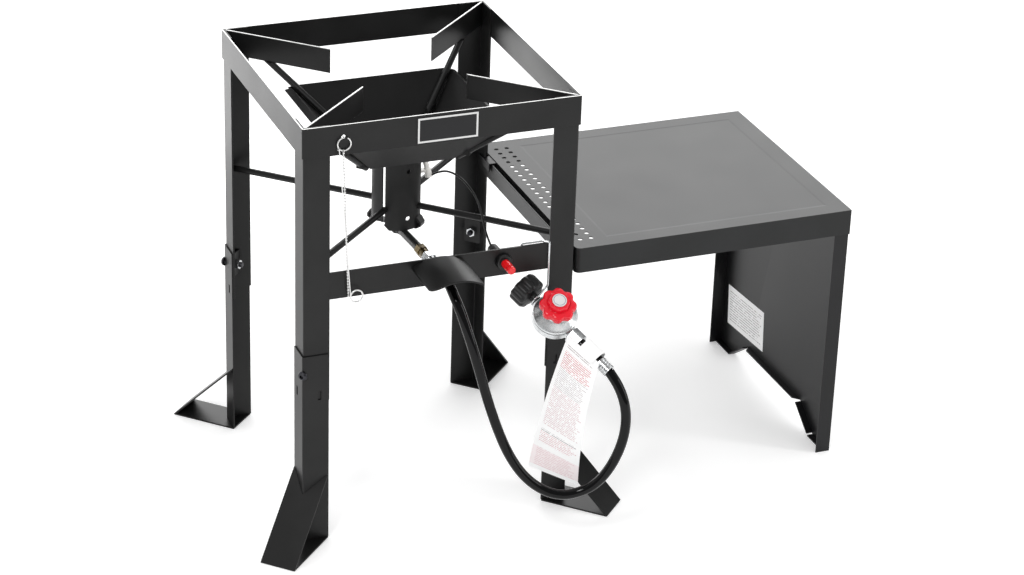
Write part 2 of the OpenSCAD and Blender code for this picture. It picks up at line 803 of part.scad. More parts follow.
module end_panel() {
    top = tray_top - tray_t;
    a = panel_y0 + panel_foot;
    b = panel_y1 - panel_foot;
    color("#33343a") difference() {
        union() {
            translate([panel_x - sheet_t, 0, 0]) rotate([90, 0, 90]) linear_extrude(sheet_t)
                polygon([
                    [panel_y0, 0], [a, 0], [a + panel_slant, panel_rise],
                    [b - panel_slant, panel_rise], [b, 0], [panel_y1, 0],
                    [panel_y1, top], [panel_y0, top]
                ]);
            for (y = [panel_y0, panel_y1 - sheet_t])
                translate([panel_x - panel_flange, y, 0]) cube([panel_flange, sheet_t, top]);
            for (y = [panel_y0, b])
                translate([panel_x - sheet_t - panel_lip, y, 0])
                    cube([panel_lip + e, panel_foot, sheet_t]);
            translate([panel_x - sheet_t, 0, panel_rise]) linear_extrude(sheet_t) polygon([
                [e, a + panel_slant], [-panel_lip, a + panel_slant + panel_lip],
                [-panel_lip, b - panel_slant - panel_lip], [e, b - panel_slant]
            ]);
            slant_lip(a, 1);
            slant_lip(b, -1);
        }
        for (y = panel_screw_y) translate([panel_x - 5, y, panel_screw_z]) rotate([0, 90, 0])
            cylinder(d = 6.5, h = 10);
    }
}

module panel_screws() {
    color("#8f9194") for (y = panel_screw_y)
        translate([0, y, panel_screw_z]) rotate([0, 90, 0]) {
            translate([0, 0, tray_x1]) cylinder(d1 = 12, d2 = 8, h = 3.3);
            translate([0, 0, panel_x - 12]) cylinder(d = 6, h = tray_x1 - panel_x + 12 + e);
            translate([0, 0, panel_x - sheet_t - 5]) hex(10, 5);
        }
}

// ---- Regulator ----

neck_r = 7;
stem_r = 5;

module regulator_body() {
    color("#b4b7b9") on_regulator() difference() {
        union() {
            translate([0, 0, -5]) cylinder(r = regulator_r, h = 11, $fn = 96);
            translate([0, 0, -9]) cylinder(r1 = 22, r2 = 28, h = 4 + e, $fn = 96);
            // Bosses for the two ports, flat under the diaphragm
            intersection() {
                rotate([0, 90, 0]) cylinder(r = 10, h = 2 * boss_end, center = true);
                translate([-boss_end, -10, -12]) cube([2 * boss_end, 20, 18]);
            }
        }
        translate([0, 0, -4]) cylinder(r = 24, h = 20);
        rotate([0, 90, 0]) cylinder(r = 3.5, h = 80, center = true);
    }
}

module regulator_diaphragm() {
    color("#3a3a3c") on_regulator() translate([0, 0, 6]) cylinder(r = regulator_r - 0.5, h = 1);
}

module regulator_bonnet() {
    color("#c4c6c8") on_regulator() translate([0, 0, 7]) difference() {
        rotate_extrude($fn = 96) difference() {
            polygon([
                [0, 0], [regulator_r, 0], [regulator_r, 4], [regulator_r - 3, 6],
                [22, 13], [19, 15], [19, 21], [0, 21]
            ]);
            polygon([[-e, -e], [24, -e], [17, 10], [14, 12], [-e, 12]]);
        }
        cylinder(r = stem_r + 0.08, h = 40);
    }
}

// Lobed outline of a hand wheel
module lobed(lobes, outer_r, lobe_r, inner_r) {
    circle(r = inner_r);
    for (i = [0:lobes - 1]) rotate(360 / lobes * i) translate([outer_r - lobe_r, 0]) circle(r = lobe_r);
}

module regulator_knob() {
    color("#c4161c") on_regulator() {
        translate([0, 0, 29]) linear_extrude(14) lobed(8, 26.5, 6.5, 23.5);
        translate([0, 0, 43]) cylinder(r1 = 22, r2 = 18, h = 5);
        translate([0, 0, 48 - e]) cylinder(r = 13, h = 3);
        translate([0, 0, 15]) cylinder(r = stem_r, h = 14 + e);
    }
}

module knob_cap() {
    color("#f2f2f0") on_regulator() translate([0, 0, 51 - e]) cylinder(r = 10.5, h = 1.2);
}

// Nipple between the body and the cylinder's valve
module inlet_nipple() {
    color("#232325") along_outlet(-68) difference() {
        union() {
            cylinder(r1 = 4, r2 = 6, h = 8);
            translate([0, 0, 8]) cylinder(r = 6, h = 8);
            translate([0, 0, 15]) cylinder(r = 10, h = 2.5);
            translate([0, 0, 17.5 - e]) cylinder(r = neck_r, h = 50.5 - boss_end + e);
        }
        translate([0, 0, -e]) cylinder(r = 2.5, h = 60);
    }
}

// Black hand nut that draws the nipple onto the cylinder's valve
module coupling_nut() {
    color("#17181a") along_outlet(-69) difference() {
        linear_extrude(24) lobed(10, 23.5, 5, 21.2);
        translate([0, 0, -e]) cylinder(r = 16.6, h = 18.8);
        cylinder(r = neck_r + 0.1, h = 30);
    }
}

module outlet_nut() {
    color("#c2c4c6") along_outlet(boss_end) difference() {
        hex(22, sleeve_start - boss_end);
        translate([0, 0, -e]) cylinder(r = 3.5, h = 22);
    }
}

module outlet_sleeve() {
    color("#1a1a1c") along_outlet(sleeve_start) difference() {
        cylinder(d = 16, h = outlet_ferrule - sleeve_start);
        translate([0, 0, -e]) cylinder(r = 3.5, h = 60);
    }
}

// Zinc wire from the crossbar to a hook round the nipple's neck
module hanger_wire() {
    wire_d = 3;
    hook_s = -37;
    hook_r = neck_r + wire_d / 2 + 0.3;
    front_y = -leg_y - wire_d / 2 - 0.3;
    back_y = -leg_y + bar_t + wire_d / 2 + 0.3;
    over_z = bar_top + wire_d / 2 + 0.1;
    bend = 3;
    // The hook's points run round the neck from its top, over its left side, to below
    hook = [for (a = [76:16:300])
        regulator_pos + turned([hook_s, hook_r * cos(a), hook_r * sin(a)], regulator_turn)];
    route = concat([
        [122, back_y, 406], [122, back_y, over_z - bend], [122 + bend, back_y, over_z],
        [152, back_y, over_z], [156, -leg_y + 2.4, over_z], [159, -leg_y + 0.6, over_z],
        [160.6, -leg_y - 0.6, over_z], [161.5, -leg_y - 1.4, over_z - 0.5],
        [162, front_y, over_z - 1.9], [162, front_y, over_z - 6],
        [162, front_y, 360], [161, front_y - 0.6, 355], [158, front_y - 1, 352.5]
    ], hook);
    last_turn = hook[len(hook) - 1] - hook[len(hook) - 2];
    color("#b9bcbe") swept_tube(route, wire_d, [0, 0, 1], last_turn, 8);
}

// ---- Paper tag ----

tag_t = 0.5;
tag_rows = 13;
// The sheet's rows of points at the share t of its way down: direction and middle
function tag_yaw(t) = -56 + 10 * t + 18 * t * t * t;
function tag_pitch(t) = -27 + 8 * t;
function tag_along(t) = [
    cos(tag_yaw(t)) * cos(tag_pitch(t)), sin(tag_yaw(t)) * cos(tag_pitch(t)), sin(tag_pitch(t))
];
function tag_middle(t) = [178.6 - 60 * t + 23 * t * t, -292.2 + 4 * t, 299.4 - 200 * t];
function tag_point(t, side, depth) = tag_middle(t) + side * (30 + 8 * t) * tag_along(t)
    + depth * [sin(tag_yaw(t)), -cos(tag_yaw(t)), 0];

// Curled sheet of paper that hangs from a loop round the outlet sleeve
module paper_tag() {
    rows = [for (i = [0:tag_rows - 1]) i / (tag_rows - 1)];
    points = [for (t = rows) for (k = [[-1, 0], [1, 0], [1, -tag_t], [-1, -tag_t]])
        tag_point(t, k[0], k[1])];
    // Front and back are split along the same diagonals
    walls = [for (i = [0:tag_rows - 2]) for (k = [0:3])
        let (a = 4 * i + k, b = 4 * i + (k + 1) % 4)
        for (face = k == 2 ? [[a, b, a + 4], [b, b + 4, a + 4]]
                           : [[a, b, b + 4], [a, b + 4, a + 4]]) face];
    color("#f4f3ef") {
        polyhedron(points, concat([[3, 2, 1, 0]], walls,
            [[4 * tag_rows - 4, 4 * tag_rows - 3, 4 * tag_rows - 2, 4 * tag_rows - 1]]));
        along_outlet(sleeve_start + 6) difference() {
            cylinder(r = 14.2, h = 29);
            translate([0, 0, -e]) cylinder(r = 13.7, h = 30);
        }
    }
}

// ---- Nodes ----

top_band();
upper_leg(corners[0]);  // upper_leg_front_left
upper_leg(corners[1]);  // upper_leg_front_right
upper_leg(corners[2]);  // upper_leg_rear_left
upper_leg(corners[3]);  // upper_leg_rear_right
pot_support(corners[0]);  // pot_support_front_left
pot_support(corners[1]);  // pot_support_front_right
pot_support(corners[2]);  // pot_support_rear_left
pot_support(corners[3]);  // pot_support_rear_right
corner_braces();
wind_guard();
burner_arms();
burner_tube();
burner_elbow();
gas_jet();
flame_spreader();
gas_pipe();
brass_coupling();
swivel_nut();
hose_ferrules();
gas_hose();
front_crossbar();
hose_shield();
igniter_body();
igniter_collar();
igniter_button();
igniter_spring();
ignition_wire();
electrode();
name_plate();
chain_ring();
bead_chain();
match_holder();
side_rail();
lower_leg(corners[0]);  // lower_leg_front_left
lower_leg(corners[1]);  // lower_leg_front_right
lower_leg(corners[2]);  // lower_leg_rear_left
lower_leg(corners[3]);  // lower_leg_rear_right
foot(corners[0]);  // foot_front_left
foot(corners[1]);  // foot_front_right
foot(corners[2]);  // foot_rear_left
foot(corners[3]);  // foot_rear_right
leg_clamp_plates();
leg_bolts();
leg_nuts();
shelf_tray();
shelf_hooks();
end_panel();
panel_screws();
regulator_body();
regulator_bonnet();
regulator_diaphragm();
regulator_knob();
knob_cap();
inlet_nipple();
coupling_nut();
outlet_nut();
outlet_sleeve();
hanger_wire();
paper_tag();
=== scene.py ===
"""Dresses a propane burner stand: its finishes, rounded edges, hose, chain, regulator, tag and studio.

Blender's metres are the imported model's own frame: +Z up, +X towards the side table, -Y towards
the front. Names that end in _mm and outlines of turned pieces are in millimetres.
"""

import json
import logging
import math
from collections.abc import Callable, Iterable, Mapping, Sequence
from dataclasses import dataclass
from enum import Enum
from itertools import product

import bmesh
import bpy
from mathutils import Euler, Matrix, Vector

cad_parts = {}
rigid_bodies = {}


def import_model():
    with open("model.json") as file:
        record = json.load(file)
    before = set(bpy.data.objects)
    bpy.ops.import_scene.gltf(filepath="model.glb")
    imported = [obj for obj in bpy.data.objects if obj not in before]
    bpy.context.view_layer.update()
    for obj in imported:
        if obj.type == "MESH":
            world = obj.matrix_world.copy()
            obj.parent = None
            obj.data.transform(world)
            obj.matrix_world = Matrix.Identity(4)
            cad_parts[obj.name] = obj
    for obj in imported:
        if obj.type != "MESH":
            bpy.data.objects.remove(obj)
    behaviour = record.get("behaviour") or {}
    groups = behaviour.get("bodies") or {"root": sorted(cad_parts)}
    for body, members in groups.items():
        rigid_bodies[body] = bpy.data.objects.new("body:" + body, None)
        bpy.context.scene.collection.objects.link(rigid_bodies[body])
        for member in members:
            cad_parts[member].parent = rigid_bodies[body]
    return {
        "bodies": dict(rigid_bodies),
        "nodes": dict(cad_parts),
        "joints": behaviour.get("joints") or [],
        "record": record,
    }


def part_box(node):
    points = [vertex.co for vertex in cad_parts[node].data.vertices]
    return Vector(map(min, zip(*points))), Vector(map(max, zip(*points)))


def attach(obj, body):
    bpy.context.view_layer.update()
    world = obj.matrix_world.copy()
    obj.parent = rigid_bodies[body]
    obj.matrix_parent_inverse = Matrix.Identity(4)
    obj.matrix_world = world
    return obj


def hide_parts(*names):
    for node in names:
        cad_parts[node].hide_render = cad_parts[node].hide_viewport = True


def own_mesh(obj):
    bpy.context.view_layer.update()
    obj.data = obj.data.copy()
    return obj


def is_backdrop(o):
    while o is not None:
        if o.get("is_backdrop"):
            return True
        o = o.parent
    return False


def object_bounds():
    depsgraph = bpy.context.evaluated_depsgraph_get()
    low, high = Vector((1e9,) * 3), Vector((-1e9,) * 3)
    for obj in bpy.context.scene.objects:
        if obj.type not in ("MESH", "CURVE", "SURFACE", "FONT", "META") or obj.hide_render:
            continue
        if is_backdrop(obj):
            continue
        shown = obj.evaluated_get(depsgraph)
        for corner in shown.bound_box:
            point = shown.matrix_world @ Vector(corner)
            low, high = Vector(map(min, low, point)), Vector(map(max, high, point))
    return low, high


LOG = logging.getLogger("burner_stand")
MM = 0.001
SHARP_DEGREES = 35
WHITE = (1.0, 1.0, 1.0, 1.0)
MATH = "ShaderNodeMath"
CORNERS = ("front_left", "front_right", "rear_left", "rear_right")

Pair = tuple[float, float]
Point = tuple[float, float, float]
Colour = tuple[float, float, float, float]
Profile = Sequence[Pair]
RadiusAt = Callable[[float, float, float], float]
Piece = bpy.types.Object
Tree = bpy.types.NodeTree
Socket = bpy.types.NodeSocket
Settings = Mapping[str | int, object]


# ---- Small helpers ----


def hex_to_linear(code: str) -> Colour:
    """Turns an sRGB hex colour into a linear colour with alpha 1.

    Args:
        code: The colour as "#rrggbb".

    Returns:
        The linear red, green, blue and alpha.
    """
    channels = [int(code[i : i + 2], 16) / 255 for i in (1, 3, 5)]
    linear = [c / 12.92 if c <= 0.04045 else ((c + 0.055) / 1.055) ** 2.4 for c in channels]
    return (linear[0], linear[1], linear[2], 1.0)


def per_metre(size_mm: float) -> float:
    """Returns a texture scale whose pattern repeats about every size_mm millimetres."""
    return 1000.0 / size_mm


def add_node(tree: Tree, kind: str, settings: Settings | None = None) -> bpy.types.Node:
    """Adds one node with its settings and incoming links.

    Args:
        tree: The node tree that gets the node.
        kind: The node's bl_idname.
        settings: By input socket name or index, or by attribute name: a value, or the output
            socket to link from.

    Returns:
        The new node.
    """
    node = tree.nodes.new(kind)
    for key, value in (settings or {}).items():
        if isinstance(value, Socket):
            tree.links.new(value, node.inputs[key])
        elif isinstance(key, int) or key in node.inputs:
            node.inputs[key].default_value = value
        else:
            setattr(node, key, value)
    return node


def add_chain(
    tree: Tree, made: dict[str, Socket], rows: Iterable[tuple[str, str, str | int, Settings]]
) -> None:
    """Adds nodes one after another, each of which may use the results before it.

    Args:
        tree: The node tree that gets the nodes.
        made: Sockets by name, to which every node's result is added.
        rows: For each node its result's name, its kind, the output that gives the result, and
            its settings, in which a name in made stands for that socket.
    """
    for name, kind, output, settings in rows:
        values = {
            key: made.get(value, value) if isinstance(value, str) else value
            for key, value in settings.items()
        }
        made[name] = add_node(tree, kind, values).outputs[output]


def new_material(name: str) -> tuple[bpy.types.Material, Tree, bpy.types.Node]:
    """Makes an empty node material.

    Args:
        name: The material's name.

    Returns:
        The material, its node tree and its Principled shader.
    """
    material = bpy.data.materials.new(name)
    material.use_nodes = True
    tree = material.node_tree
    tree.nodes.clear()
    shader = add_node(tree, "ShaderNodeBsdfPrincipled")
    add_node(tree, "ShaderNodeOutputMaterial", {"Surface": shader.outputs["BSDF"]})
    return material, tree, shader


def set_shader(shader: bpy.types.Node, values: Settings) -> None:
    """Sets constant values on a shader's own sockets."""
    for key, value in values.items():
        shader.inputs[key].default_value = value


def link_object(name: str, data: bpy.types.ID) -> Piece:
    """Returns a new object of some data, linked to the scene."""
    obj = bpy.data.objects.new(name, data)
    bpy.context.scene.collection.objects.link(obj)
    return obj


def mesh_object(name: str, mesh: bmesh.types.BMesh, smooth: bool = True) -> Piece:
    """Turns a bmesh into a linked object.

    Args:
        name: The object's name.
        mesh: The bmesh, which is freed.
        smooth: Whether faces are shaded smooth, with the sharper edges left sharp.

    Returns:
        The new object.
    """
    bmesh.ops.recalc_face_normals(mesh, faces=mesh.faces)
    data = bpy.data.meshes.new(name)
    mesh.to_mesh(data)
    mesh.free()
    if smooth:
        data.shade_smooth()
        data.set_sharp_from_angle(angle=math.radians(SHARP_DEGREES))
    return link_object(name, data)


def apply_modifiers(obj: Piece) -> None:
    """Replaces an object's mesh by the result of its modifiers."""
    graph = bpy.context.evaluated_depsgraph_get()
    result = bpy.data.meshes.new_from_object(obj.evaluated_get(graph))
    obj.modifiers.clear()
    obj.data = result


def catmull_rom(points: Sequence[Vector], steps: int) -> list[Vector]:
    """Samples a smooth line through points.

    Args:
        points: The points that the line passes.
        steps: Samples for each stretch between two points.

    Returns:
        The sampled points, both ends included.
    """
    padded = [2 * points[0] - points[1], *points, 2 * points[-1] - points[-2]]
    line = []
    for a, b, c, d in zip(padded, padded[1:], padded[2:], padded[3:]):
        slope, bend, twist = c - a, 2 * a - 5 * b + 4 * c - d, 3 * b - a - 3 * c + d
        for i in range(steps):
            t = i / steps
            line.append(0.5 * (2 * b + slope * t + bend * t * t + twist * t * t * t))
    line.append(points[-1].copy())
    return line


def line_length(points: Sequence[Vector]) -> float:
    """Returns the length of a line through points."""
    return sum((b - a).length for a, b in zip(points, points[1:]))


# ---- Finishes ----


@dataclass(frozen=True)
class Surface:
    """What the finishes share: patchy colour, uneven gloss and a fine relief.

    tones are the patches' levels with the colours there; patch and grain are a size in
    millimetres with the noise's detail; bump is the grain's strength with its depth in
    millimetres; gloss is the lowest and highest roughness.
    """

    name: str
    tones: tuple[tuple[float, Colour], ...]
    patch: Pair
    grain: Pair
    bump: Pair
    gloss: Pair
    gloss_from: str = "patch"

    def build(
        self, constants: Settings, pressed: Callable[[Tree, Socket], Socket] | None = None
    ) -> bpy.types.Material:
        """Builds the material.

        Args:
            constants: Values for the shader's own sockets.
            pressed: Gives the normal under the relief from the tree and the coordinates, or None.

        Returns:
            The material.
        """
        material, tree, shader = new_material(self.name)
        set_shader(shader, constants)
        where = add_node(tree, "ShaderNodeTexCoord").outputs["Object"]
        made = {"where": where}
        add_chain(tree, made, [
            (name, "ShaderNodeTexNoise", "Fac",
             {"Scale": per_metre(size), "Detail": detail, "Vector": "where"})
            for name, (size, detail) in (("patch", self.patch), ("grain", self.grain))
        ])
        tint = add_node(tree, "ShaderNodeValToRGB", {"Fac": made["patch"]})
        for element, (level, colour) in zip(tint.color_ramp.elements, self.tones):
            element.position, element.color = level, colour
        gloss = add_node(
            tree, "ShaderNodeMapRange",
            {"To Min": self.gloss[0], "To Max": self.gloss[1], "Value": made[self.gloss_from]},
        )
        strength, depth_mm = self.bump
        bump = add_node(
            tree, "ShaderNodeBump",
            {"Strength": strength, "Distance": depth_mm * MM, "Height": made["grain"]},
        )
        if pressed:
            tree.links.new(pressed(tree, where), bump.inputs["Normal"])
        tree.links.new(tint.outputs["Color"], shader.inputs["Base Color"])
        tree.links.new(gloss.outputs["Result"], shader.inputs["Roughness"])
        tree.links.new(bump.outputs["Normal"], shader.inputs["Normal"])
        return material


@dataclass(frozen=True)
class PowderCoat:
    """Black polyester powder baked on steel: a satin skin with a fine orange peel.

    The peel breaks up highlights a little, and faint dust lifts the black of broad faces.
    """

    name: str = "powder_coat"
    colour: str = "#131313"
    dust: str = "#1d1d1d"
    roughness: float = 0.36
    border_mm: tuple[float, float, float, float] | None = None
    ior: float = 1.37
    dust_patch_mm: float = 70
    peel_mm: float = 1.4
    peel_depth_mm: float = 0.05
    step_width_mm: float = 5
    step_depth_mm: float = 0.5

    def pressed_step(self, tree: Tree, where: Socket) -> Socket:
        """Returns the normal of a shallow step pressed along the border's rectangle.

        Args:
            tree: The material's node tree.
            where: The object's coordinates in metres.

        Returns:
            The normal.
        """
        x0, x1, y0, y1 = (edge * MM for edge in self.border_mm)
        axes = add_node(tree, "ShaderNodeSeparateXYZ", {"Vector": where})
        made = {axis: axes.outputs[axis] for axis in "XY"}
        for axis, low, high in (("X", x0, x1), ("Y", y0, y1)):
            add_chain(tree, made, (
                ("off", MATH, 0, {"operation": "SUBTRACT", 0: axis, 1: (low + high) / 2}),
                ("size", MATH, 0, {"operation": "ABSOLUTE", 0: "off"}),
                (axis, MATH, 0, {"operation": "SUBTRACT", 0: "size", 1: (high - low) / 2}),
            ))
        half = self.step_width_mm / 2 * MM
        add_chain(tree, made, (
            ("beyond", MATH, 0, {"operation": "MAXIMUM", 0: "X", 1: "Y"}),
            ("step", "ShaderNodeMapRange", "Result",
             {"interpolation_type": "SMOOTHSTEP", "From Min": -half, "From Max": half,
              "Value": "beyond"}),
            ("normal", "ShaderNodeBump", "Normal",
             {"Strength": 0.6, "Distance": self.step_depth_mm * MM, "Height": "step"}),
        ))
        return made["normal"]

    def build(self) -> bpy.types.Material:
        """Builds the material."""
        surface = Surface(
            self.name,
            tones=((0.35, hex_to_linear(self.colour)), (0.75, hex_to_linear(self.dust))),
            patch=(self.dust_patch_mm, 4.0),
            grain=(self.peel_mm, 2.0),
            bump=(0.35, self.peel_depth_mm),
            gloss=(self.roughness - 0.03, self.roughness + 0.05),
        )
        return surface.build({"IOR": self.ior}, self.pressed_step if self.border_mm else None)


@dataclass(frozen=True)
class PlatedMetal:
    """Bare or plated metal: turned, cast or drawn, with fine scratches that spread its highlights."""

    name: str
    colour: str
    shade: str
    roughness: float
    grain_mm: float = 0.8
    grain_depth_mm: float = 0.02
    stain_mm: float = 12

    def build(self) -> bpy.types.Material:
        """Builds the material."""
        surface = Surface(
            self.name,
            tones=((0.3, hex_to_linear(self.shade)), (0.7, hex_to_linear(self.colour))),
            patch=(self.stain_mm, 3.0),
            grain=(self.grain_mm, 3.0),
            bump=(0.3, self.grain_depth_mm),
            gloss=(self.roughness * 0.8, self.roughness * 1.25),
            gloss_from="grain",
        )
        return surface.build({"Metallic": 1.0})


@dataclass(frozen=True)
class Moulded:
    """Moulded plastic, rubber or glazed ceramic: an even colour under a clear or dull skin."""

    name: str
    colour: str
    roughness: float
    texture_mm: float = 0.9
    texture_depth_mm: float = 0.03
    coat: float = 0.0
    specular: float = 0.5
    ior: float = 1.49
    cloud_mm: float = 25
    cloud_shade: float = 0.88

    def build(self) -> bpy.types.Material:
        """Builds the material."""
        *light, alpha = hex_to_linear(self.colour)
        dark = (*(channel * self.cloud_shade for channel in light), alpha)
        surface = Surface(
            self.name,
            tones=((0.0, dark), (1.0, (*light, alpha))),
            patch=(self.cloud_mm, 3.0),
            grain=(self.texture_mm, 2.0),
            bump=(0.3, self.texture_depth_mm),
            gloss=(self.roughness * 0.85, self.roughness * 1.15),
        )
        return surface.build({
            "IOR": self.ior, "Specular IOR Level": self.specular,
            "Coat Weight": self.coat, "Coat Roughness": 0.08,
        })


@dataclass(frozen=True)
class PrintedPaper:
    """Coated paper with rows of plain broken strokes in place of print.

    Each band gives the sheet's and the strokes' colour from its share of the way down.
    """

    name: str
    size_mm: Pair
    bands: tuple[tuple[float, str, str], ...]
    row_mm: float = 2.7
    word_mm: float = 3.6
    stroke: float = 0.4
    margins: Pair = (0.09, 0.94)
    ragged: float = 0.16
    gap_level: float = 0.43

    def ramp(self, tree: Tree, down: Socket, pick: int) -> Socket:
        """Returns the colour of the bands down the sheet.

        Args:
            tree: The material's node tree.
            down: The share of the way down.
            pick: 1 for the sheet's colours, 2 for the strokes'.

        Returns:
            The colour.
        """
        node = add_node(tree, "ShaderNodeValToRGB", {"Fac": down})
        node.color_ramp.interpolation = "CONSTANT"
        elements = node.color_ramp.elements
        while len(elements) < len(self.bands):
            elements.new(1.0)
        for element, band in zip(elements, self.bands):
            element.position = band[0]
            element.color = hex_to_linear(band[pick])
        return node.outputs["Color"]

    def build(self) -> bpy.types.Material:
        """Builds the material."""
        material, tree, shader = new_material(self.name)
        set_shader(shader, {"Roughness": 0.6, "IOR": 1.45})
        width_mm, height_mm = self.size_mm
        left, right = self.margins
        where = add_node(tree, "ShaderNodeUVMap", {"uv_map": "print"}).outputs["UV"]
        axes = add_node(tree, "ShaderNodeSeparateXYZ", {"Vector": where})
        made = {"across": axes.outputs["X"], "down": axes.outputs["Y"]}
        add_chain(tree, made, (
            ("row", MATH, 0, {"operation": "MULTIPLY", 0: "down", 1: height_mm / self.row_mm}),
            ("number", MATH, 0, {"operation": "FLOOR", 0: "row"}),
            ("height", MATH, 0, {"operation": "FRACT", 0: "row"}),
            ("stroke", MATH, 0, {"operation": "LESS_THAN", 0: "height", 1: self.stroke}),
            ("along", MATH, 0, {"operation": "MULTIPLY", 0: "across", 1: width_mm / self.word_mm}),
            ("shift", MATH, 0, {"operation": "MULTIPLY", 0: "number", 1: 3.7}),
            ("cell", "ShaderNodeCombineXYZ", "Vector", {"X": "along", "Y": "shift"}),
            ("words", "ShaderNodeTexNoise", "Fac", {"Scale": 1.7, "Detail": 2.0, "Vector": "cell"}),
            ("broken", MATH, 0, {"operation": "GREATER_THAN", 0: "words", 1: self.gap_level}),
            ("chance", "ShaderNodeTexWhiteNoise", "Value",
             {"noise_dimensions": "1D", "W": "number"}),
            ("end", "ShaderNodeMapRange", "Result",
             {"To Min": right - self.ragged, "To Max": right, "Value": "chance"}),
            ("after", MATH, 0, {"operation": "GREATER_THAN", 0: "across", 1: left}),
            ("before", MATH, 0, {"operation": "LESS_THAN", 0: "across", 1: "end"}),
            ("inside", MATH, 0, {"operation": "MULTIPLY", 0: "after", 1: "before"}),
            ("print", MATH, 0, {"operation": "MULTIPLY", 0: "stroke", 1: "broken"}),
            ("mark", MATH, 0, {"operation": "MULTIPLY", 0: "print", 1: "inside"}),
        ))
        down = made["down"]
        tint = add_node(
            tree, "ShaderNodeMix",
            {"data_type": "RGBA", 0: made["mark"], 6: self.ramp(tree, down, 1),
             7: self.ramp(tree, down, 2)},
        )
        tree.links.new(tint.outputs[2], shader.inputs["Base Color"])
        return material


Finish = PowderCoat | PlatedMetal | Moulded | PrintedPaper


class Slot(Enum):
    """The record's material slots, by the finish that each stands for."""

    POWDER = "powder_coat"
    TABLE = "table_coat"
    BURNER = "burner_black"
    GUARD = "guard_steel"
    BRASS = "brass"
    ZINC = "zinc"
    NICKEL = "nickel_wire"
    CAST = "die_cast_zinc"
    RED_KNOB = "red_knob"
    RED_BUTTON = "red_button"
    WHITE = "white_disc"
    RUBBER = "hose_rubber"
    PLASTIC = "black_plastic"
    CERAMIC = "ceramic"
    PAPER = "paper"
    PLATE = "name_plate"
    BOLT = "black_bolt"
    PIPE = "black_pipe"


SHEET, BLANK = "#ffffff", "#ffffff"
TAG_PRINT = (
    (0.0, SHEET, BLANK), (0.05, SHEET, "#b5adae"), (0.07, SHEET, BLANK),
    (0.09, SHEET, "#d98a90"), (0.21, SHEET, "#cfc8ca"), (0.36, SHEET, "#dcc3c7"),
    (0.66, SHEET, BLANK), (0.69, SHEET, "#a99fa2"), (0.71, SHEET, "#dfbcc0"),
    (0.79, SHEET, BLANK), (0.83, "#fbf1f2", "#ead2d5"), (0.965, SHEET, BLANK),
)
LABEL_PRINT = ((0.0, SHEET, BLANK), (0.12, SHEET, "#b9b7b8"), (0.88, SHEET, BLANK))

FINISHES: dict[Slot, Finish] = {
    Slot.POWDER: PowderCoat(),
    Slot.TABLE: PowderCoat("table_powder_coat", "#111112", "#171719", 0.36),
    Slot.BURNER: PowderCoat("heatproof_black", "#1c1c1c", "#262626", 0.5),
    Slot.GUARD: PowderCoat("guard_powder_coat", "#101010", "#161616", 0.46),
    Slot.BRASS: PlatedMetal("turned_brass", "#7d6a3e", "#4a3d25", 0.24),
    Slot.ZINC: PlatedMetal("zinc_plate", "#e9eaeb", "#bfc2c4", 0.2),
    Slot.NICKEL: PlatedMetal("nickel_wire", "#fbfbfa", "#e9e9e8", 0.4),
    Slot.CAST: PlatedMetal("die_cast_zinc", "#f4f5f5", "#d9dcde", 0.28, 1.2, 0.05),
    Slot.RED_KNOB: Moulded("red_moulded_knob", "#e8162b", 0.22),
    Slot.RED_BUTTON: Moulded("red_moulded_button", "#e8141c", 0.22, coat=0.3),
    Slot.WHITE: Moulded("white_disc", "#dededd", 0.35),
    Slot.RUBBER: Moulded("hose_rubber", "#040405", 0.07, 1.6, 0.01, specular=0.26),
    Slot.PLASTIC: Moulded("black_moulded_plastic", "#0c0c0d", 0.38),
    Slot.CERAMIC: Moulded("glazed_ceramic", "#f6f4ef", 0.2, coat=0.4),
    Slot.PAPER: PrintedPaper("tag_paper", (68, 208), TAG_PRINT),
    Slot.PLATE: PowderCoat("name_plate_black", "#161618", "#1d1d1f", 0.3),
    Slot.BOLT: PlatedMetal("black_zinc", "#4a4a4e", "#2c2c30", 0.34),
    Slot.PIPE: PowderCoat("pipe_black", "#1e1e1f", "#272727", 0.36),
}
LABEL_PAPER = PrintedPaper("label_paper", (129, 67), LABEL_PRINT, 4.4, 6.0, 0.34, (0.05, 0.96))
# Painted highlight: near-white metal on the top faces of the band and pot supports, for the glint of
# light along them.
PAINTED_HIGHLIGHT_TOP = PlatedMetal("top_face_painted_highlight", "#cfcfce", "#b4b4b3", 0.32)
DISC_LINE = Moulded("disc_line_grey", "#7d8797", 0.4)
# Painted light: a lighter copy of the table's coat brightens the tray's lit top; the pressed step
# round its border is real relief.
LIT_TRAY_COAT = PowderCoat("tray_powder_coat_painted_light", "#191a1a", "#202122", 0.35, (262, 612, -166, 171))


# ---- Workshop: pieces, edges and riding ----


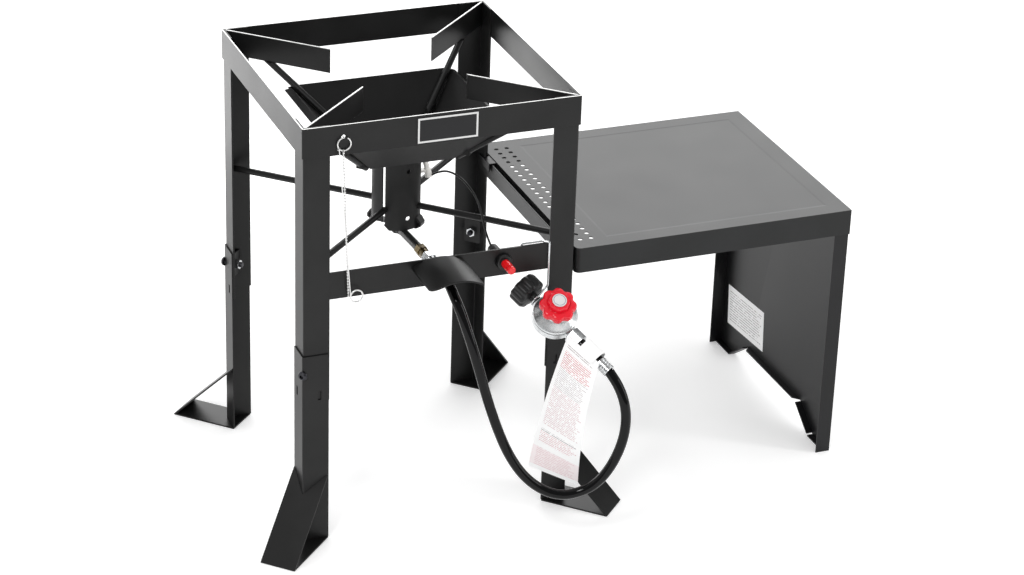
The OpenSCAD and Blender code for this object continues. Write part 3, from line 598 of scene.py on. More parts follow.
class Workshop:
    """Makes pieces from meshes and nodes, gives them their finish and sets them on their bodies."""

    def __init__(self, frame: Mapping[str, object]) -> None:
        """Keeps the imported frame.
        """
        record = frame["record"]
        self.nodes: dict[str, Piece] = frame["nodes"]
        self.slots = {part["node"]: Slot(part["material_slot"]) for part in record["subparts"]}
        self.body_of = {
            node: body for body, nodes in record["behaviour"]["bodies"].items() for node in nodes
        }
        self.materials: dict[Finish, bpy.types.Material] = {}
        self.dressed: set[str] = set()

    def material(self, finish: Finish) -> bpy.types.Material:
        """Returns the finish's material, built on first use."""
        if finish not in self.materials:
            self.materials[finish] = finish.build()
        return self.materials[finish]

    def place(
        self,
        piece: Piece,
        node: str,
        slot: Slot | None = None,
        finish: Finish | None = None,
        extra: bool = False,
    ) -> Piece:
        """Finishes a piece and sets it on the body of a node, in the node's place.

        Args:
            piece: The new object.
            node: The node whose body the piece rides on.
            slot: The record's slot, or None for the node's own.
            finish: The finish, or None for the slot's own.
            extra: Whether the piece only adds to the node and doesn't stand for it.

        Returns:
            The piece.
        """
        slot = slot or self.slots[node]
        piece.data.materials.clear()
        piece.data.materials.append(self.material(finish or FINISHES[slot]))
        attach(piece, self.body_of[node])
        if not extra:
            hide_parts(node)
            self.dressed.add(node)
        LOG.info("%s rides on %s", piece.name, self.body_of[node])
        return piece

    def soften(
        self,
        node: str,
        width_mm: float = 0.6,
        segments: int = 2,
        finish: Finish | None = None,
        top_finish: Finish | None = None,
    ) -> Piece:
        """Stands a copy of a node with rounded edges in its place.

        Args:
            node: The node's name.
            width_mm: The rounding's width.
            segments: Faces across each rounding.
            finish: The finish, or None for the slot's own.
            top_finish: Another finish for the faces along its top edge, or None.

        Returns:
            The rounded copy.
        """
        mesh = bmesh.new()
        mesh.from_mesh(self.nodes[node].data)
        bmesh.ops.remove_doubles(mesh, verts=mesh.verts, dist=0.002 * MM)
        bmesh.ops.dissolve_limit(
            mesh, angle_limit=math.radians(1.0), verts=mesh.verts, edges=mesh.edges
        )
        piece = mesh_object(node + "_piece", mesh)
        bevel = piece.modifiers.new("edges", "BEVEL")
        bevel.width = width_mm * MM
        bevel.segments = segments
        bevel.limit_method = "ANGLE"
        bevel.angle_limit = math.radians(38)
        weigh = piece.modifiers.new("flats", "WEIGHTED_NORMAL")
        weigh.mode = "FACE_AREA_WITH_ANGLE"
        weigh.weight = 100
        weigh.keep_sharp = False
        piece.data.shade_smooth()
        apply_modifiers(piece)
        self.place(piece, node, finish=finish)
        # The faces along the top take the other finish, which paints a highlight on them.
        if top_finish:
            piece.data.materials.append(self.material(top_finish))
            top = max(vert.co.z for vert in piece.data.vertices) - width_mm * MM
            for face in piece.data.polygons:
                if face.normal.z > 0.3 and face.center.z > top:
                    face.material_index = 1
        return piece

    def cover_rest(self) -> None:
        """Gives every node that no piece replaces its finish."""
        for name, obj in self.nodes.items():
            if name not in self.dressed:
                obj.data.materials.clear()
                obj.data.materials.append(self.material(FINISHES[self.slots[name]]))
                LOG.info("%s keeps its solid", name)


def tube(
    name: str,
    points: Sequence[Vector],
    diameter: float,
    resolution: int = 6,
    closed: bool = False,
    smooth: bool = False,
) -> Piece:
    """Makes a round tube as a curve through points.

    Args:
        name: The curve's name.
        points: The centre line.
        diameter: The tube's diameter.
        resolution: Blender's bevel resolution.
        closed: Whether the last point joins the first.
        smooth: Whether the stretches are smooth, between handles set by the neighbours.

    Returns:
        The curve object.
    """
    curve = bpy.data.curves.new(name, "CURVE")
    curve.dimensions = "3D"
    curve.bevel_depth = diameter / 2
    curve.bevel_resolution = resolution
    curve.use_fill_caps = not closed
    if smooth:
        curve.resolution_u = 12
        spline = curve.splines.new("BEZIER")
        spline.bezier_points.add(len(points) - 1)
        padded = [2 * points[0] - points[1], *points, 2 * points[-1] - points[-2]]
        for i, knot in enumerate(spline.bezier_points):
            arm = (padded[i + 2] - padded[i]) / 6
            knot.handle_left_type = knot.handle_right_type = "FREE"
            knot.co = points[i]
            knot.handle_left = points[i] - arm
            knot.handle_right = points[i] + arm
    else:
        line = points[:-1] if closed else points
        spline = curve.splines.new("POLY")
        spline.points.add(len(line) - 1)
        for target, point in zip(spline.points, line):
            target.co = (*point, 1.0)
        spline.use_cyclic_u = closed
        spline.use_smooth = True
    return link_object(name, curve)


def lathe(
    name: str,
    profile: Profile,
    place: Matrix,
    sides: int = 96,
    radius_at: RadiusAt | None = None,
) -> Piece:
    """Turns a profile about local Z.

    Args:
        name: The object's name.
        profile: Radius and height pairs in millimetres, from one end to the other.
        place: Where the local frame goes.
        sides: Faces round the axis.
        radius_at: Gives the radius from the profile's radius, height and angle, or None for round.

    Returns:
        The new object.
    """
    mesh = bmesh.new()
    rings = []
    for radius, height in profile:
        if radius < 1e-6:
            rings.append([mesh.verts.new((0, 0, height * MM))])
            continue
        ring = []
        for angle in (2 * math.pi * i / sides for i in range(sides)):
            r = MM * (radius_at(radius, height, angle) if radius_at else radius)
            ring.append(mesh.verts.new((r * math.cos(angle), r * math.sin(angle), height * MM)))
        rings.append(ring)
    for low, high in zip(rings, rings[1:]):
        for i in range(sides):
            j = (i + 1) % sides
            if len(low) == 1 and len(high) == 1:
                continue
            if len(low) == 1:
                mesh.faces.new((low[0], high[i], high[j]))
            elif len(high) == 1:
                mesh.faces.new((low[i], low[j], high[0]))
            else:
                mesh.faces.new((low[i], low[j], high[j], high[i]))
    for ring in (rings[0], rings[-1]):
        if len(ring) > 1 and profile[0] != profile[-1]:
            mesh.faces.new(ring)
    if profile[0] == profile[-1]:
        bmesh.ops.remove_doubles(mesh, verts=mesh.verts, dist=0.001 * MM)
    mesh.transform(place)
    return mesh_object(name, mesh)


def scad_matrix(position_mm: Point, turn_degrees: Point) -> Matrix:
    """Returns the matrix of a move after a turn about X, then Y, then Z."""
    turn = Euler([math.radians(a) for a in turn_degrees], "XYZ").to_matrix().to_4x4()
    return Matrix.Translation(Vector(position_mm) * MM) @ turn


def axis_matrix(point_mm: Point, direction: Point) -> Matrix:
    """Returns the matrix, in metres, that puts local +Z along a direction at a point."""
    turn = Vector(direction).normalized().to_track_quat("Z", "Y").to_matrix().to_4x4()
    return Matrix.Translation(Vector(point_mm) * MM) @ turn


def circle_points(centre_mm: Point, radius_mm: float, axis: Point) -> list[Vector]:
    """Returns points round a circle, in metres.

    Args:
        centre_mm: The circle's centre.
        radius_mm: Its radius.
        axis: Its axis.

    Returns:
        Points every six degrees, with the first one again at the end.
    """
    place = axis_matrix(centre_mm, axis)
    angles = (math.radians(degrees) for degrees in range(0, 361, 6))
    radius = radius_mm * MM
    return [place @ Vector((radius * math.cos(a), radius * math.sin(a), 0)) for a in angles]


def scalloped(lobes: int, depth_mm: float, full_r: float) -> RadiusAt:
    """Returns a radius function that sinks smooth hollows between a hand wheel's lobes.

    Args:
        lobes: Lobes round the wheel.
        depth_mm: The hollows' depth at the full radius.
        full_r: The radius at which they are deepest; nearer the axis they fade.

    Returns:
        A function of the profile's radius, the height and the angle.
    """

    def radius(r: float, _height: float, angle: float) -> float:
        hollow = 0.5 - 0.5 * math.cos(lobes * angle)
        return r - depth_mm * hollow**1.6 * max(0.0, min(1.0, (r / full_r - 0.45) / 0.5))

    return radius


# ---- Sub-assemblies ----


@dataclass
class SteelFrame:
    """The welded upper frame with its legs, pot supports, wind guard and crossbar."""

    shop: Workshop
    plates: tuple[str, ...] = ("front_crossbar", "side_rail", "hose_shield")
    edge_mm: float = 0.7

    def build(self) -> None:
        """Rounds the steel's edges and paints a highlight on the band's and supports' tops."""
        self.shop.soften("top_band", self.edge_mm, top_finish=PAINTED_HIGHLIGHT_TOP)
        for node in self.plates:
            self.shop.soften(node, self.edge_mm)
        for corner in CORNERS:
            self.shop.soften("upper_leg_" + corner, self.edge_mm)
            self.shop.soften("pot_support_" + corner, self.edge_mm, top_finish=PAINTED_HIGHLIGHT_TOP)
        self.shop.soften("wind_guard", 0.5)
        self.shop.soften("corner_braces", 0.5)
        self.shop.soften("burner_arms", 0.3)


@dataclass
class NamePlate:
    """The bare plate on the band: black, with a white line round its edge."""

    shop: Workshop
    border_mm: float = 2.6
    inset_mm: float = 1.2
    step_mm: float = 0.12
    corner_mm: float = 2.0

    def build(self) -> None:
        """Builds the plate and its line."""
        low, high = map(Vector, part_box("name_plate"))
        front = low + Vector((0, self.step_mm * MM, 0))
        size = high - front
        mesh = bmesh.new()
        bmesh.ops.create_cube(mesh, size=1)
        for vert in mesh.verts:
            vert.co = front + Vector([(c + 0.5) * side for c, side in zip(vert.co, size)])
        uprights = [e for e in mesh.edges if abs(e.verts[0].co.y - e.verts[1].co.y) > size.y / 2]
        bmesh.ops.bevel(
            mesh, geom=uprights, offset=self.corner_mm * MM, segments=4, affect="EDGES", profile=0.5
        )
        self.shop.place(mesh_object("name_plate_sheet", mesh), "name_plate")
        line = bmesh.new()
        rings = []
        outer, inner = self.inset_mm * MM, (self.inset_mm + self.border_mm) * MM
        for d, y in ((outer, front.y), (outer, low.y), (inner, low.y), (inner, front.y)):
            left, right, bottom, top = low.x + d, high.x - d, low.z + d, high.z - d
            outline = ((left, bottom), (right, bottom), (right, top), (left, top))
            rings.append([line.verts.new((x, y, z)) for x, z in outline])
        for a, b in zip(rings, rings[1:] + rings[:1]):
            for i in range(4):
                line.faces.new((a[i], a[(i + 1) % 4], b[(i + 1) % 4], b[i]))
        border = mesh_object("name_plate_line", line, smooth=False)
        self.shop.place(border, "name_plate", Slot.WHITE, extra=True)


@dataclass
class LowerLegs:
    """The bolted lower legs with their bent feet, plates, bolts and nuts."""

    shop: Workshop
    half_w: float = 203.2
    half_d: float = 193.25
    bolt_z: float = 269
    bolt: Profile = (
        (0, -31), (3.6, -31), (4, -30.4), (4, -1.2), (7, -1.2), (7.05, -0.6), (6.7, 0.8),
        (5.8, 2.3), (4.6, 3.1), (3.5, 3.3), (2.9, 3.1), (2.7, 0.6), (0, 0.4),
    )

    def build(self) -> None:
        """Rounds the legs and feet and turns the bolts."""
        for corner in CORNERS:
            self.shop.soften("lower_leg_" + corner, 0.6)
            self.shop.soften("foot_" + corner, 0.8)
        self.shop.soften("leg_clamp_plates", 0.5)
        self.shop.soften("leg_nuts", 0.5)
        for (x, side), (y, end) in product(((-1, "left"), (1, "right")), ((-1, "front"), (1, "rear"))):
            place = axis_matrix((x * self.half_w, y * self.half_d, self.bolt_z), (x, y, 0))
            self.shop.place(lathe(f"leg_bolt_{side}_{end}", self.bolt, place, 40), "leg_bolts")


@dataclass
class InletTrain:
    """The gas fittings along the axis that rises to the front, from elbow to hose."""

    shop: Workshop
    x: float = 3
    z: float = 383.9
    rise: float = math.radians(4.2)
    ferrule: Pair = (146.4, 170.5)
    ferrule_r: float = 8.5
    edges: tuple[tuple[str, float], ...] = (
        ("burner_elbow", 0.8), ("gas_jet", 0.4), ("gas_pipe", 0.4), ("brass_coupling", 0.6),
        ("swivel_nut", 0.9), ("flame_spreader", 0.5), ("burner_tube", 0.6),
    )

    @property
    def place(self) -> Matrix:
        """The frame at the elbow whose local +Z runs along the axis."""
        return axis_matrix((self.x, 0, self.z), (0, -math.cos(self.rise), math.sin(self.rise)))

    def build(self) -> Piece:
        """Builds the fittings and returns the crimped ferrule."""
        for node, edge_mm in self.edges:
            self.shop.soften(node, edge_mm)
        ferrule = lathe("inlet_ferrule", crimped(*self.ferrule, self.ferrule_r), self.place, 64)
        return self.shop.place(ferrule, "hose_ferrules")


def crimped(start: float, end: float, radius: float) -> list[Pair]:
    """Returns the profile of a crimped sleeve, closed at both ends.

    Args:
        start: Height of its first end.
        end: Height of its other end.
        radius: Its radius between the crimps.

    Returns:
        Radius and height pairs.
    """
    rim, crimp = 0.8, radius - 0.7
    profile = [(0, start), (radius - rim, start), (radius, start + rim)]
    for share in (0.3, 0.5, 0.7):
        middle = start + share * (end - start)
        profile += [(radius, middle - 1.6), (crimp, middle - rim), (crimp, middle + rim),
                    (radius, middle + 1.6)]
    return [*profile, (radius, end - rim), (radius - rim, end), (0, end)]


@dataclass
class GasHose:
    """The black rubber hose between the crossbar and the regulator."""

    shop: Workshop
    diameter: float = 14.5 * MM
    route_mm: tuple[Point, ...] = (
        (3, -184, 397), (3, -198, 396.2), (3, -211.5, 393), (3.5, -224, 387.4), (5, -235.5, 379),
        (8, -245.5, 367.5), (12, -254, 351), (17.5, -261.5, 329), (24, -268, 303), (31, -274, 274),
        (38, -279, 245), (46, -285, 215), (55, -291, 186), (65.5, -297, 158.5), (78, -303, 134.5),
        (92, -308.5, 115.5), (108, -314, 101), (126, -320.5, 91.5), (145, -326.5, 88.5),
        (163, -331.5, 92), (179.5, -336.5, 100.5), (193, -340.5, 113.5), (204, -343.5, 130),
        (213, -345.5, 149), (220, -347, 171), (224, -347, 194), (224.5, -345, 217),
        (221.5, -340, 238), (216, -331, 256),
    )

    def build(self, start: Vector, end: Vector, ferrules: Sequence[Piece]) -> None:
        """Args:
            start: The face of the inlet's ferrule.
            end: The face of the outlet's ferrule.
            ferrules: The crimped pieces at its ends; not used.
        """
        knots = [start, *(Vector(p) * MM for p in self.route_mm), end]
        hose = tube("hose", knots, self.diameter, 10, smooth=True)
        self.shop.place(hose, "gas_hose")
        tuple(start)
        line_length(catmull_rom(knots, 12))


@dataclass
class Igniter:
    """The push-button igniter in the crossbar, with its wire and electrode."""

    shop: Workshop
    x: float = 93
    z: float = 403
    coil_turns: int = 7
    wire_mm: tuple[Point, ...] = (
        (52.7, -6.8, 462.3), (54.5, -9.9, 465), (58.2, -17.2, 470), (64, -32, 477), (70, -53, 480.5),
        (76, -78, 478), (82, -104, 466.5), (86, -119, 448), (88.5, -128, 428), (90.5, -134, 416),
        (92, -139.5, 409), (92.8, -144, 405.2), (93, -148.5, 403.3), (93, -152, 403),
    )

    collar: Profile = (
        (8.1, 0), (11.2, 0), (12, 0.8), (12, 5.5), (10.6, 7.6), (9.4, 8), (8.1, 8), (8.1, 0),
    )
    stem: Profile = (
        (0, 0), (6.1, 0), (6.2, 0.3), (6.2, 41), (5.4, 43), (5.4, 45), (6.1, 46), (6.2, 51.2),
        (5.8, 53), (4.6, 54), (2.4, 54), (0, 53.6),
    )

    def facing_front(self, y: float) -> Matrix:
        """Returns the place on the igniter's axis at y, local +Z towards the front."""
        return axis_matrix((self.x, y, self.z), (0, -1, 0))

    def build(self) -> None:
        """Builds every piece of the igniter."""
        self.shop.soften("igniter_body", 0.5)
        ring = lathe("igniter_collar_ring", self.collar, self.facing_front(-191.25), 96,
                     fluted(24, 0.35, lambda r, height: r > 11))
        self.shop.place(ring, "igniter_collar")
        stem = lathe("igniter_button_stem", self.stem, self.facing_front(-172), 64,
                     fluted(12, 0.3, lambda r, height: 46 < height < 52.9))
        self.shop.place(stem, "igniter_button")
        self.build_spring()
        route = catmull_rom([Vector(p) * MM for p in self.wire_mm], 6)
        self.shop.place(tube("ignition_lead", route, 3 * MM, 5), "ignition_wire")
        self.shop.soften("electrode", 0.25)

    def build_spring(self) -> None:
        """Coils the return spring behind the button."""
        low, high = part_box("igniter_spring")
        wire, radius, per_turn = 1.1 * MM, 4.9 * MM, 24
        count = self.coil_turns * per_turn
        points = []
        for i in range(count + 1):
            angle = 2 * math.pi * i / per_turn
            y = (low[1] + 0.6 * MM) + i / count * (high[1] - low[1] - 1.2 * MM)
            points.append(Vector((self.x * MM + radius * math.cos(angle), y,
                                  self.z * MM + radius * math.sin(angle))))
        coil = tube("igniter_coil", points, wire, 3)
        mesh = bpy.data.meshes.new_from_object(coil)
        bpy.data.objects.remove(coil)
        spring = link_object("igniter_coil", mesh)
        self.shop.place(spring, "igniter_spring")
        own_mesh(spring)


def fluted(count: int, depth_mm: float, where: Callable[[float, float], bool]) -> RadiusAt:
    """Returns a radius function that cuts shallow flutes into part of a profile.

    Args:
        count: Flutes round the axis.
        depth_mm: Their depth.
        where: Tells from the profile's radius and height whether there are flutes.

    Returns:
        A function of the profile's radius, the height and the angle.
    """

    def radius(r: float, height: float, angle: float) -> float:
        return r - (depth_mm * (0.5 - 0.5 * math.cos(count * angle)) if where(r, height) else 0)

    return radius


@dataclass
class ChainSet:
    """The ring on the band with its ball chain and match holder."""

    shop: Workshop
    ring_y: float = -196.35
    hole: Pair = (-145, 624.4)
    ring_r: float = 9.5
    chain_eye: Point = (-145.84, 604.89, 4.8)
    holder_eye: Point = (-152.92, 608.72, 52)
    top: Point = (-146.1, -196.35, 601.6)
    foot: Point = (-138, -197, 386)
    foot_ring: Point = (-127, -200.2, 385.5)
    foot_ring_r: float = 9
    eye_r: float = 2.2
    beads: int = 48
    bead_d: float = 3.2

    def eye(self, name: str, x: float, z: float, lean_degrees: float) -> Piece:
        """Makes a small closed eye of wire that hangs on the ring."""
        lean = math.radians(lean_degrees)
        axis = (math.cos(lean), 0, -math.sin(lean))
        line = circle_points((x, self.ring_y, z), self.eye_r, axis)
        return tube(name, line, 1.2 * MM, 4, closed=True)

    def build(self) -> None:
        """Builds ring, chain and holder."""
        place = self.shop.place
        x, z = self.hole
        angles = (math.radians(-degrees) for degrees in range(0, 331, 6))
        arc = [(x + self.ring_r * math.sin(a), self.ring_y, z + self.ring_r * (math.cos(a) - 1))
               for a in angles]
        back = [(x, y, z) for y in (-188.75, -191, -193.8)]
        ring = tube("split_ring", [Vector(p) * MM for p in back + arc], 2 * MM, 5)
        place(ring, "chain_ring")
        self.build_beads()
        place(self.eye("chain_eye", *self.chain_eye), "bead_chain", extra=True)
        place(self.eye("holder_eye", *self.holder_eye), "match_holder")
        eye_x, eye_z, _lean = self.holder_eye
        rod = (Vector((eye_x, self.ring_y - 2.4, eye_z)),
               Vector(self.foot_ring) + Vector((-8.9, 0, 1)))
        wire = tube("holder_wire", [end * MM for end in rod], 1.6 * MM, 5)
        place(wire, "match_holder", extra=True)
        loop = circle_points(self.foot_ring, self.foot_ring_r, (0, -1, 0))
        place(tube("holder_ring", loop, 2.4 * MM, 5, closed=True), "match_holder", extra=True)

    def build_beads(self) -> None:
        """Strings the beads on their links."""
        top, foot = Vector(self.top) * MM, Vector(self.foot) * MM
        mesh = bmesh.new()
        for i in range(self.beads + 1):
            at = top.lerp(foot, i / self.beads)
            bmesh.ops.create_uvsphere(
                mesh, u_segments=14, v_segments=9, radius=self.bead_d / 2 * MM,
                matrix=Matrix.Translation(at),
            )
        turn = (foot - top).to_track_quat("Z", "Y").to_matrix().to_4x4()
        bmesh.ops.create_cone(
            mesh, cap_ends=True, segments=8, radius1=0.5 * MM, radius2=0.5 * MM,
            depth=(foot - top).length, matrix=Matrix.Translation((top + foot) / 2) @ turn,
        )
        self.shop.place(mesh_object("chain_beads", mesh), "bead_chain")


@dataclass
class SideTable:
    """The lift-off tray with its hooks, end panel and screws."""

    shop: Workshop
    right_x: float = 642
    screw_y: tuple[float, ...] = (-120, 0, 120)
    screw_z: float = 386
    label_at: Point = (638.7, 113.9, 80.6)
    label_size: Pair = (129.3, 67.3)
    label_lean: float = math.radians(4.2)
    screw: Profile = (
        (0, 1.5), (1.9, 1.6), (2.1, 2.9), (2.6, 3.25), (3.6, 3.2), (4.8, 2.5), (5.7, 1.3),
        (6, 0.2), (6, 0), (3, 0), (3, -12.8), (2.6, -13.2), (0, -13.2),
    )
    nut: Profile = ((0, -8.2), (5.5, -8.2), (5.7, -7.8), (5.7, -3.6), (5.5, -3.2), (0, -3.2))

    def build(self) -> None:
        """Builds tray, panel, screws and label."""
        shop = self.shop
        # The tray's coat is lighter than the panel's: painted light on its top.
        shop.soften("shelf_tray", 0.6, 3, LIT_TRAY_COAT)
        shop.soften("end_panel", 0.9, 3)
        shop.soften("shelf_hooks", 0.6)
        for number, y in enumerate(self.screw_y):
            place = axis_matrix((self.right_x, y, self.screw_z), (1, 0, 0))
            shop.place(lathe(f"panel_screw_{number}", self.screw, place, 40), "panel_screws")
            nut = lathe(f"panel_nut_{number}", self.nut, place, 72, hexagonal)
            shop.place(nut, "panel_screws", Slot.ZINC, extra=True)
        w, h = self.label_size
        on_panel = (
            Matrix.Translation(Vector(self.label_at) * MM)
            @ Matrix.Rotation(-self.label_lean, 4, "X")
            @ Matrix(((0, 0, -1), (-1, 0, 0), (0, 1, 0))).to_4x4()
        )
        label = sheet_mesh(
            "panel_label", lambda u, v: (w * (u - 0.5), h * (0.5 - v), 0.0), on_panel, (12, 8), 0.25
        )
        shop.place(label, "end_panel", Slot.PAPER, LABEL_PAPER, extra=True)


def hexagonal(r: float, _height: float, angle: float) -> float:
    """Turns a round radius into the distance to a hexagon's side at an angle."""
    sector = (angle + math.pi / 6) % (math.pi / 3) - math.pi / 6
    return min(r, r * 0.87 / math.cos(sector))


def sheet_mesh(
    name: str,
    shape: Callable[[float, float], Point],
    place: Matrix,
    counts: tuple[int, int],
    thickness: float,
) -> Piece:
    """Makes a thin sheet from a function of its width and height shares.

    Args:
        name: The object's name.
        shape: Gives a point in millimetres from shares 0 to 1 across and down.
        place: Where the local frame goes.
        counts: Cells across and down.
        thickness: The sheet's thickness in millimetres, added behind the printed side.

    Returns:
        The new object, with its shares across and down as the "print" map.
    """
    across, down = counts
    mesh = bmesh.new()
    uv = mesh.loops.layers.uv.new("print")
    cells = [[(i / across, j / down) for i in range(across + 1)] for j in range(down + 1)]
    grid = [[mesh.verts.new(Vector(shape(u, v)) * MM) for u, v in row] for row in cells]
    shares = {vert: cell for row in zip(grid, cells) for vert, cell in zip(*row)}
    for low, high in zip(grid[1:], grid):
        for i in range(across):
            face = mesh.faces.new((low[i], low[i + 1], high[i + 1], high[i]))
            for loop in face.loops:
                loop[uv].uv = shares[loop.vert]
    mesh.transform(place)
    data = bpy.data.meshes.new(name)
    mesh.to_mesh(data)
    mesh.free()
    obj = link_object(name, data)
    solid = obj.modifiers.new("thickness", "SOLIDIFY")
    solid.thickness = thickness * MM
    solid.offset = -1
    apply_modifiers(obj)
    obj.data.shade_smooth()
    obj.data.set_sharp_from_angle(angle=math.radians(SHARP_DEGREES))
    return obj


@dataclass
class Regulator:
    """The regulator on its wire: body, red knob, hand nut and the way out to the hose."""

    shop: Workshop
    at: Point = (157, -233, 323.5)
    turn: Point = (22, 27.5, -59)
    outlet: Pair = (92, 112)
    outlet_r: float = 9.25
    sleeve: Profile = (
        (3.5, 54), (7.4, 54), (8, 54.6), (8, 91.4), (7.4, 92), (3.5, 92), (3.5, 54),
    )
    knob: Profile = (
        (0, 15), (4.6, 15), (5, 15.4), (5, 29), (22, 29), (25.2, 29.2), (26.3, 30.4), (26.5, 32),
        (26.4, 38.6), (25.9, 40.2), (24.8, 41.2), (23, 41.8), (18.6, 42.6), (17.4, 42.4),
        (16.8, 41.6), (16.3, 41.8), (15.9, 43), (15.7, 47.6), (15.2, 49.6), (14.2, 50.7),
        (12.8, 51), (11.4, 50.9), (10.8, 50.4), (0, 50.4),
    )
    disc: Profile = (
        (0, 50.5), (10.3, 50.5), (10.4, 51.2), (10.1, 51.8), (9.4, 52.1), (8.8, 51.9), (0, 51.8),
    )
    line: Profile = ((7.9, 51.7), (8.6, 51.7), (8.6, 51.98), (7.9, 51.94), (7.9, 51.7))
    hand_nut: Profile = (
        (16.6, -69), (20.6, -69), (22.4, -68.4), (23.3, -66.8), (23.5, -64), (23.5, -50),
        (23.1, -47.4), (22, -45.8), (20, -45), (7.1, -45), (7.1, -50.1), (16.6, -50.2), (16.6, -69),
    )

    @property
    def place(self) -> Matrix:
        """The frame whose local +X is the way out and whose local +Z is the knob's axis."""
        return scad_matrix(self.at, self.turn)

    @property
    def along(self) -> Matrix:
        """The frame whose local +Z runs along the outlet."""
        return self.place @ Matrix.Rotation(math.pi / 2, 4, "Y")

    def build(self) -> Piece:
        """Builds the regulator and returns the ferrule at its outlet."""
        shop = self.shop
        for node, edge_mm, segments in (
            ("regulator_body", 0.8, 3), ("regulator_bonnet", 0.8, 3), ("regulator_diaphragm", 0.3, 2),
            ("inlet_nipple", 0.5, 2), ("outlet_nut", 0.9, 3),
        ):
            shop.soften(node, edge_mm, segments)
        turned = (
            ("knob_wheel", "regulator_knob", self.knob, self.place, 192, scalloped(8, 3.4, 26.5)),
            ("knob_disc", "knob_cap", self.disc, self.place, 96, None),
            ("hand_nut", "coupling_nut", self.hand_nut, self.along, 200, scalloped(10, 2.3, 23.5)),
            ("outlet_tube", "outlet_sleeve", self.sleeve, self.along, 64, None),
        )
        for name, node, profile, place, sides, radius_at in turned:
            shop.place(lathe(name, profile, place, sides, radius_at), node)
        line = lathe("disc_line", self.line, self.place, 96)
        shop.place(line, "knob_cap", finish=DISC_LINE, extra=True)
        self.build_hanger()
        ferrule = lathe("outlet_ferrule", crimped(*self.outlet, self.outlet_r), self.along, 64)
        return shop.place(ferrule, "hose_ferrules")

    def build_hanger(self) -> None:
        """Bends the hanger wire over the crossbar and round the nipple's neck."""
        back, front, over = -186.45, -193.05, 423.1
        neck_x, hook_r = -37, 8.8
        hook = [
            self.place @ (Vector((neck_x, hook_r * math.cos(a), hook_r * math.sin(a))) * MM)
            for a in (math.radians(degrees) for degrees in range(76, 301, 16))
        ]
        start = [
            (122, back, 406), (122, back, 414), (122, back, over - 3), (123.2, back, over - 0.8),
            (125.5, back, over), (140, back, over), (152, back, over), (156, -188.85, over),
            (159, -190.65, over), (160.6, -191.85, over), (161.5, -192.65, over - 0.5),
            (162, front, over - 1.9), (162, front, over - 6), (162, front, 400), (162, front, 375),
            (162, front, 361), (161, front - 0.6, 355), (158, front - 1, 352.5),
        ]
        line = catmull_rom([Vector(p) * MM for p in start] + hook, 6)
        self.shop.place(tube("hanger", line, 3 * MM, 6), "hanger_wire")


@dataclass
class PaperTag:
    """The curled paper tag that hangs from a loop round the outlet sleeve."""

    shop: Workshop
    bulge: float = 5
    loop: Profile = ((13.75, 60), (14.1, 60), (14.1, 89), (13.75, 89), (13.75, 60))

    def shape(self, u: float, v: float) -> Point:
        """Returns the sheet's point from shares across and down, in millimetres."""
        yaw = math.radians(-56 + 10 * v + 18 * v**3)
        pitch = math.radians(-27 + 8 * v)
        side = 2 * u - 1
        front = Vector((math.sin(yaw), -math.cos(yaw), 0))
        along = Vector((
            math.cos(yaw) * math.cos(pitch), math.sin(yaw) * math.cos(pitch), math.sin(pitch)
        ))
        middle = Vector((178.6 - 60 * v + 23 * v * v, -292.2 + 4 * v, 299.4 - 200 * v))
        swell = self.bulge * (1 - side * side) * math.sin(math.pi * v) * (0.6 + 0.4 * math.sin(7 * v))
        return tuple(middle + side * (30 + 8 * v) * along + swell * front)

    def build(self, along_outlet: Matrix) -> None:
        """Builds the sheet and its loop.

        Args:
            along_outlet: The frame whose local +Z runs along the outlet.
        """
        sheet = sheet_mesh("tag_sheet", self.shape, Matrix.Identity(4), (18, 60), 0.35)
        self.shop.place(sheet, "paper_tag")
        loop = lathe("tag_loop", self.loop, along_outlet, 64)
        self.shop.place(loop, "paper_tag", extra=True)


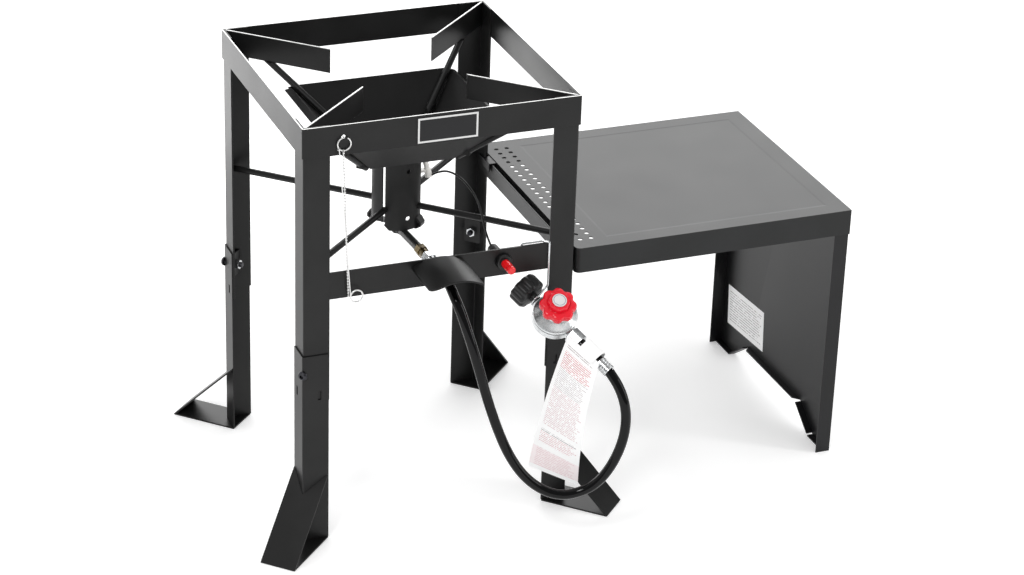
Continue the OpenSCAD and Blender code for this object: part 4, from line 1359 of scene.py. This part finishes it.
@dataclass
class Studio:
    """The camera, lamps, floor and white surroundings."""

    camera_at: Point = (-1.29684, -3.63808, 2.19849)
    yaw: float = 0.386996
    pitch: float = -0.459025
    roll: float = 0.034254
    focal_px: float = 2932.78
    image_px: int = 1024
    floor_glow: float = 0.28
    mirrored_glow: float = 0.19
    light_level: float = 0.88
    front_level: float = 0.33
    fade: Pair = (-0.35, 0.25)
    lamps_face: Point = (0.2, 0, 0.35)

    def add_camera(self) -> None:
        """Adds the camera at the measured place and angle."""
        data = bpy.data.cameras.new("camera")
        data.sensor_width = 36
        data.lens = self.focal_px * data.sensor_width / self.image_px
        data.clip_end = 50
        flat = math.cos(self.pitch)
        ahead = Vector(
            (math.sin(self.yaw) * flat, math.cos(self.yaw) * flat, math.sin(self.pitch))
        )
        level = Vector((math.cos(self.yaw), -math.sin(self.yaw), 0))
        up = level.cross(ahead)
        right = math.cos(self.roll) * level + math.sin(self.roll) * up
        top = -math.sin(self.roll) * level + math.cos(self.roll) * up
        camera = link_object("camera", data)
        turn = Matrix((right, top, -ahead)).transposed().to_4x4()
        camera.matrix_world = Matrix.Translation(self.camera_at) @ turn
        bpy.context.scene.camera = camera

    def add_lamp(self, name: str, at: Point, size: Pair, watts: float) -> None:
        """Adds a soft box that faces the stand's middle.

        Args:
            name: The lamp's name.
            at: Its place.
            size: Its width and height.
            watts: Its power.
        """
        data = bpy.data.lights.new(name, "AREA")
        data.shape = "RECTANGLE"
        data.size, data.size_y = size
        data.energy = watts
        turn = (Vector(self.lamps_face) - Vector(at)).to_track_quat("-Z", "Y")
        link_object(name, data).matrix_world = Matrix.Translation(at) @ turn.to_matrix().to_4x4()

    @staticmethod
    def rays(tree: Tree) -> dict[str, Socket]:
        """Returns what tells rays from the camera, and those or mirrored rays, from the rest."""
        node = add_node(tree, "ShaderNodeLightPath")
        made = {"direct": node.outputs["Is Camera Ray"], "mirrored": node.outputs["Is Glossy Ray"]}
        add_chain(tree, made, (
            ("seen", MATH, 0, {"operation": "MAXIMUM", 0: "direct", 1: "mirrored"}),
        ))
        return made

    def add_world(self) -> None:
        """Adds even white surroundings, which metal and glossy paint see darker in front."""
        world = bpy.data.worlds.new("surroundings")
        world.use_nodes = True
        tree = world.node_tree
        tree.nodes.clear()
        low, high = self.fade
        made = self.rays(tree)
        add_chain(tree, made, (
            ("where", "ShaderNodeTexCoord", "Generated", {}),
            ("backwards", "ShaderNodeSeparateXYZ", "Y", {"Vector": "where"}),
            ("backdrop", "ShaderNodeMapRange", "Result",
             {"interpolation_type": "SMOOTHSTEP", "From Min": low, "From Max": high,
              "To Min": self.front_level, "To Max": 1.0, "Value": "backwards"}),
            ("level", MATH, 0, {"operation": "MAXIMUM", 0: "direct", 1: "backdrop"}),
            ("light", "ShaderNodeBackground", 0, {"Color": WHITE, "Strength": self.light_level}),
            ("white", "ShaderNodeBackground", 0, {"Color": WHITE, "Strength": "level"}),
            ("both", "ShaderNodeMixShader", 0, {0: "seen", 1: "light", 2: "white"}),
        ))
        add_node(tree, "ShaderNodeOutputWorld", {"Surface": made["both"]})
        bpy.context.scene.world = world

    def add_floor(self) -> None:
        """Adds the pale floor, which shows white to the camera and keeps soft shadows."""
        mesh = bmesh.new()
        bmesh.ops.create_grid(mesh, x_segments=1, y_segments=1, size=9)
        floor = mesh_object("floor", mesh, smooth=False)
        material, tree, shader = new_material("pale_floor")
        set_shader(shader, {"Base Color": hex_to_linear("#f4f4f4"), "Roughness": 0.9,
                            "Specular IOR Level": 0.0})
        made = {"surface": shader.outputs["BSDF"], **self.rays(tree)}
        add_chain(tree, made, (
            ("amount", "ShaderNodeMapRange", "Result",
             {"To Min": self.mirrored_glow, "To Max": self.floor_glow, "Value": "direct"}),
            ("strength", MATH, 0, {"operation": "MULTIPLY", 0: "seen", 1: "amount"}),
            ("glow", "ShaderNodeEmission", 0, {"Strength": "strength"}),
            ("both", "ShaderNodeAddShader", 0, {0: "surface", 1: "glow"}),
        ))
        output = next(node for node in tree.nodes if node.type == "OUTPUT_MATERIAL")
        tree.links.new(made["both"], output.inputs["Surface"])
        floor.data.materials.append(material)
        floor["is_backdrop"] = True

    def build(self) -> None:
        """Builds the whole studio but the camera."""
        self.add_world()
        self.add_floor()
        self.add_lamp("key_softbox", (-1.6, -1.8, 2.6), (0.6, 0.6), 22)
        self.add_lamp("right_strip", (2.3, -1.3, 1.1), (0.3, 1.6), 12)
        self.add_lamp("back_softbox", (1.6, 3.3, 2.3), (2.6, 2.6), 50)
        self.add_lamp("left_softbox", (-0.15, 1.2, 0.22), (0.8, 0.4), 3)
        bpy.context.scene.view_settings.view_transform = "Standard"


def main() -> None:
    """Builds the scene in order."""
    logging.basicConfig(level=logging.INFO)
    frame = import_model()
    cad_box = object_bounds()
    studio = Studio()
    studio.add_camera()
    shop = Workshop(frame)
    inlet = InletTrain(shop)
    regulator = Regulator(shop)
    ferrules = [inlet.build(), regulator.build()]
    start = inlet.place @ Vector((0, 0, inlet.ferrule[1] * MM))
    end = regulator.along @ Vector((0, 0, regulator.outlet[1] * MM))
    GasHose(shop).build(start, end, ferrules)
    for part in (Igniter, ChainSet, SteelFrame, NamePlate, LowerLegs, SideTable):
        part(shop).build()
    PaperTag(shop).build(regulator.along)
    shop.cover_rest()
    studio.build()
    boxes = {"cad": cad_box, "visual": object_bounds()}
    json.dumps({name: [list(low), list(high)]
                                     for name, (low, high) in boxes.items()})


if __name__ == "__main__":
    main()
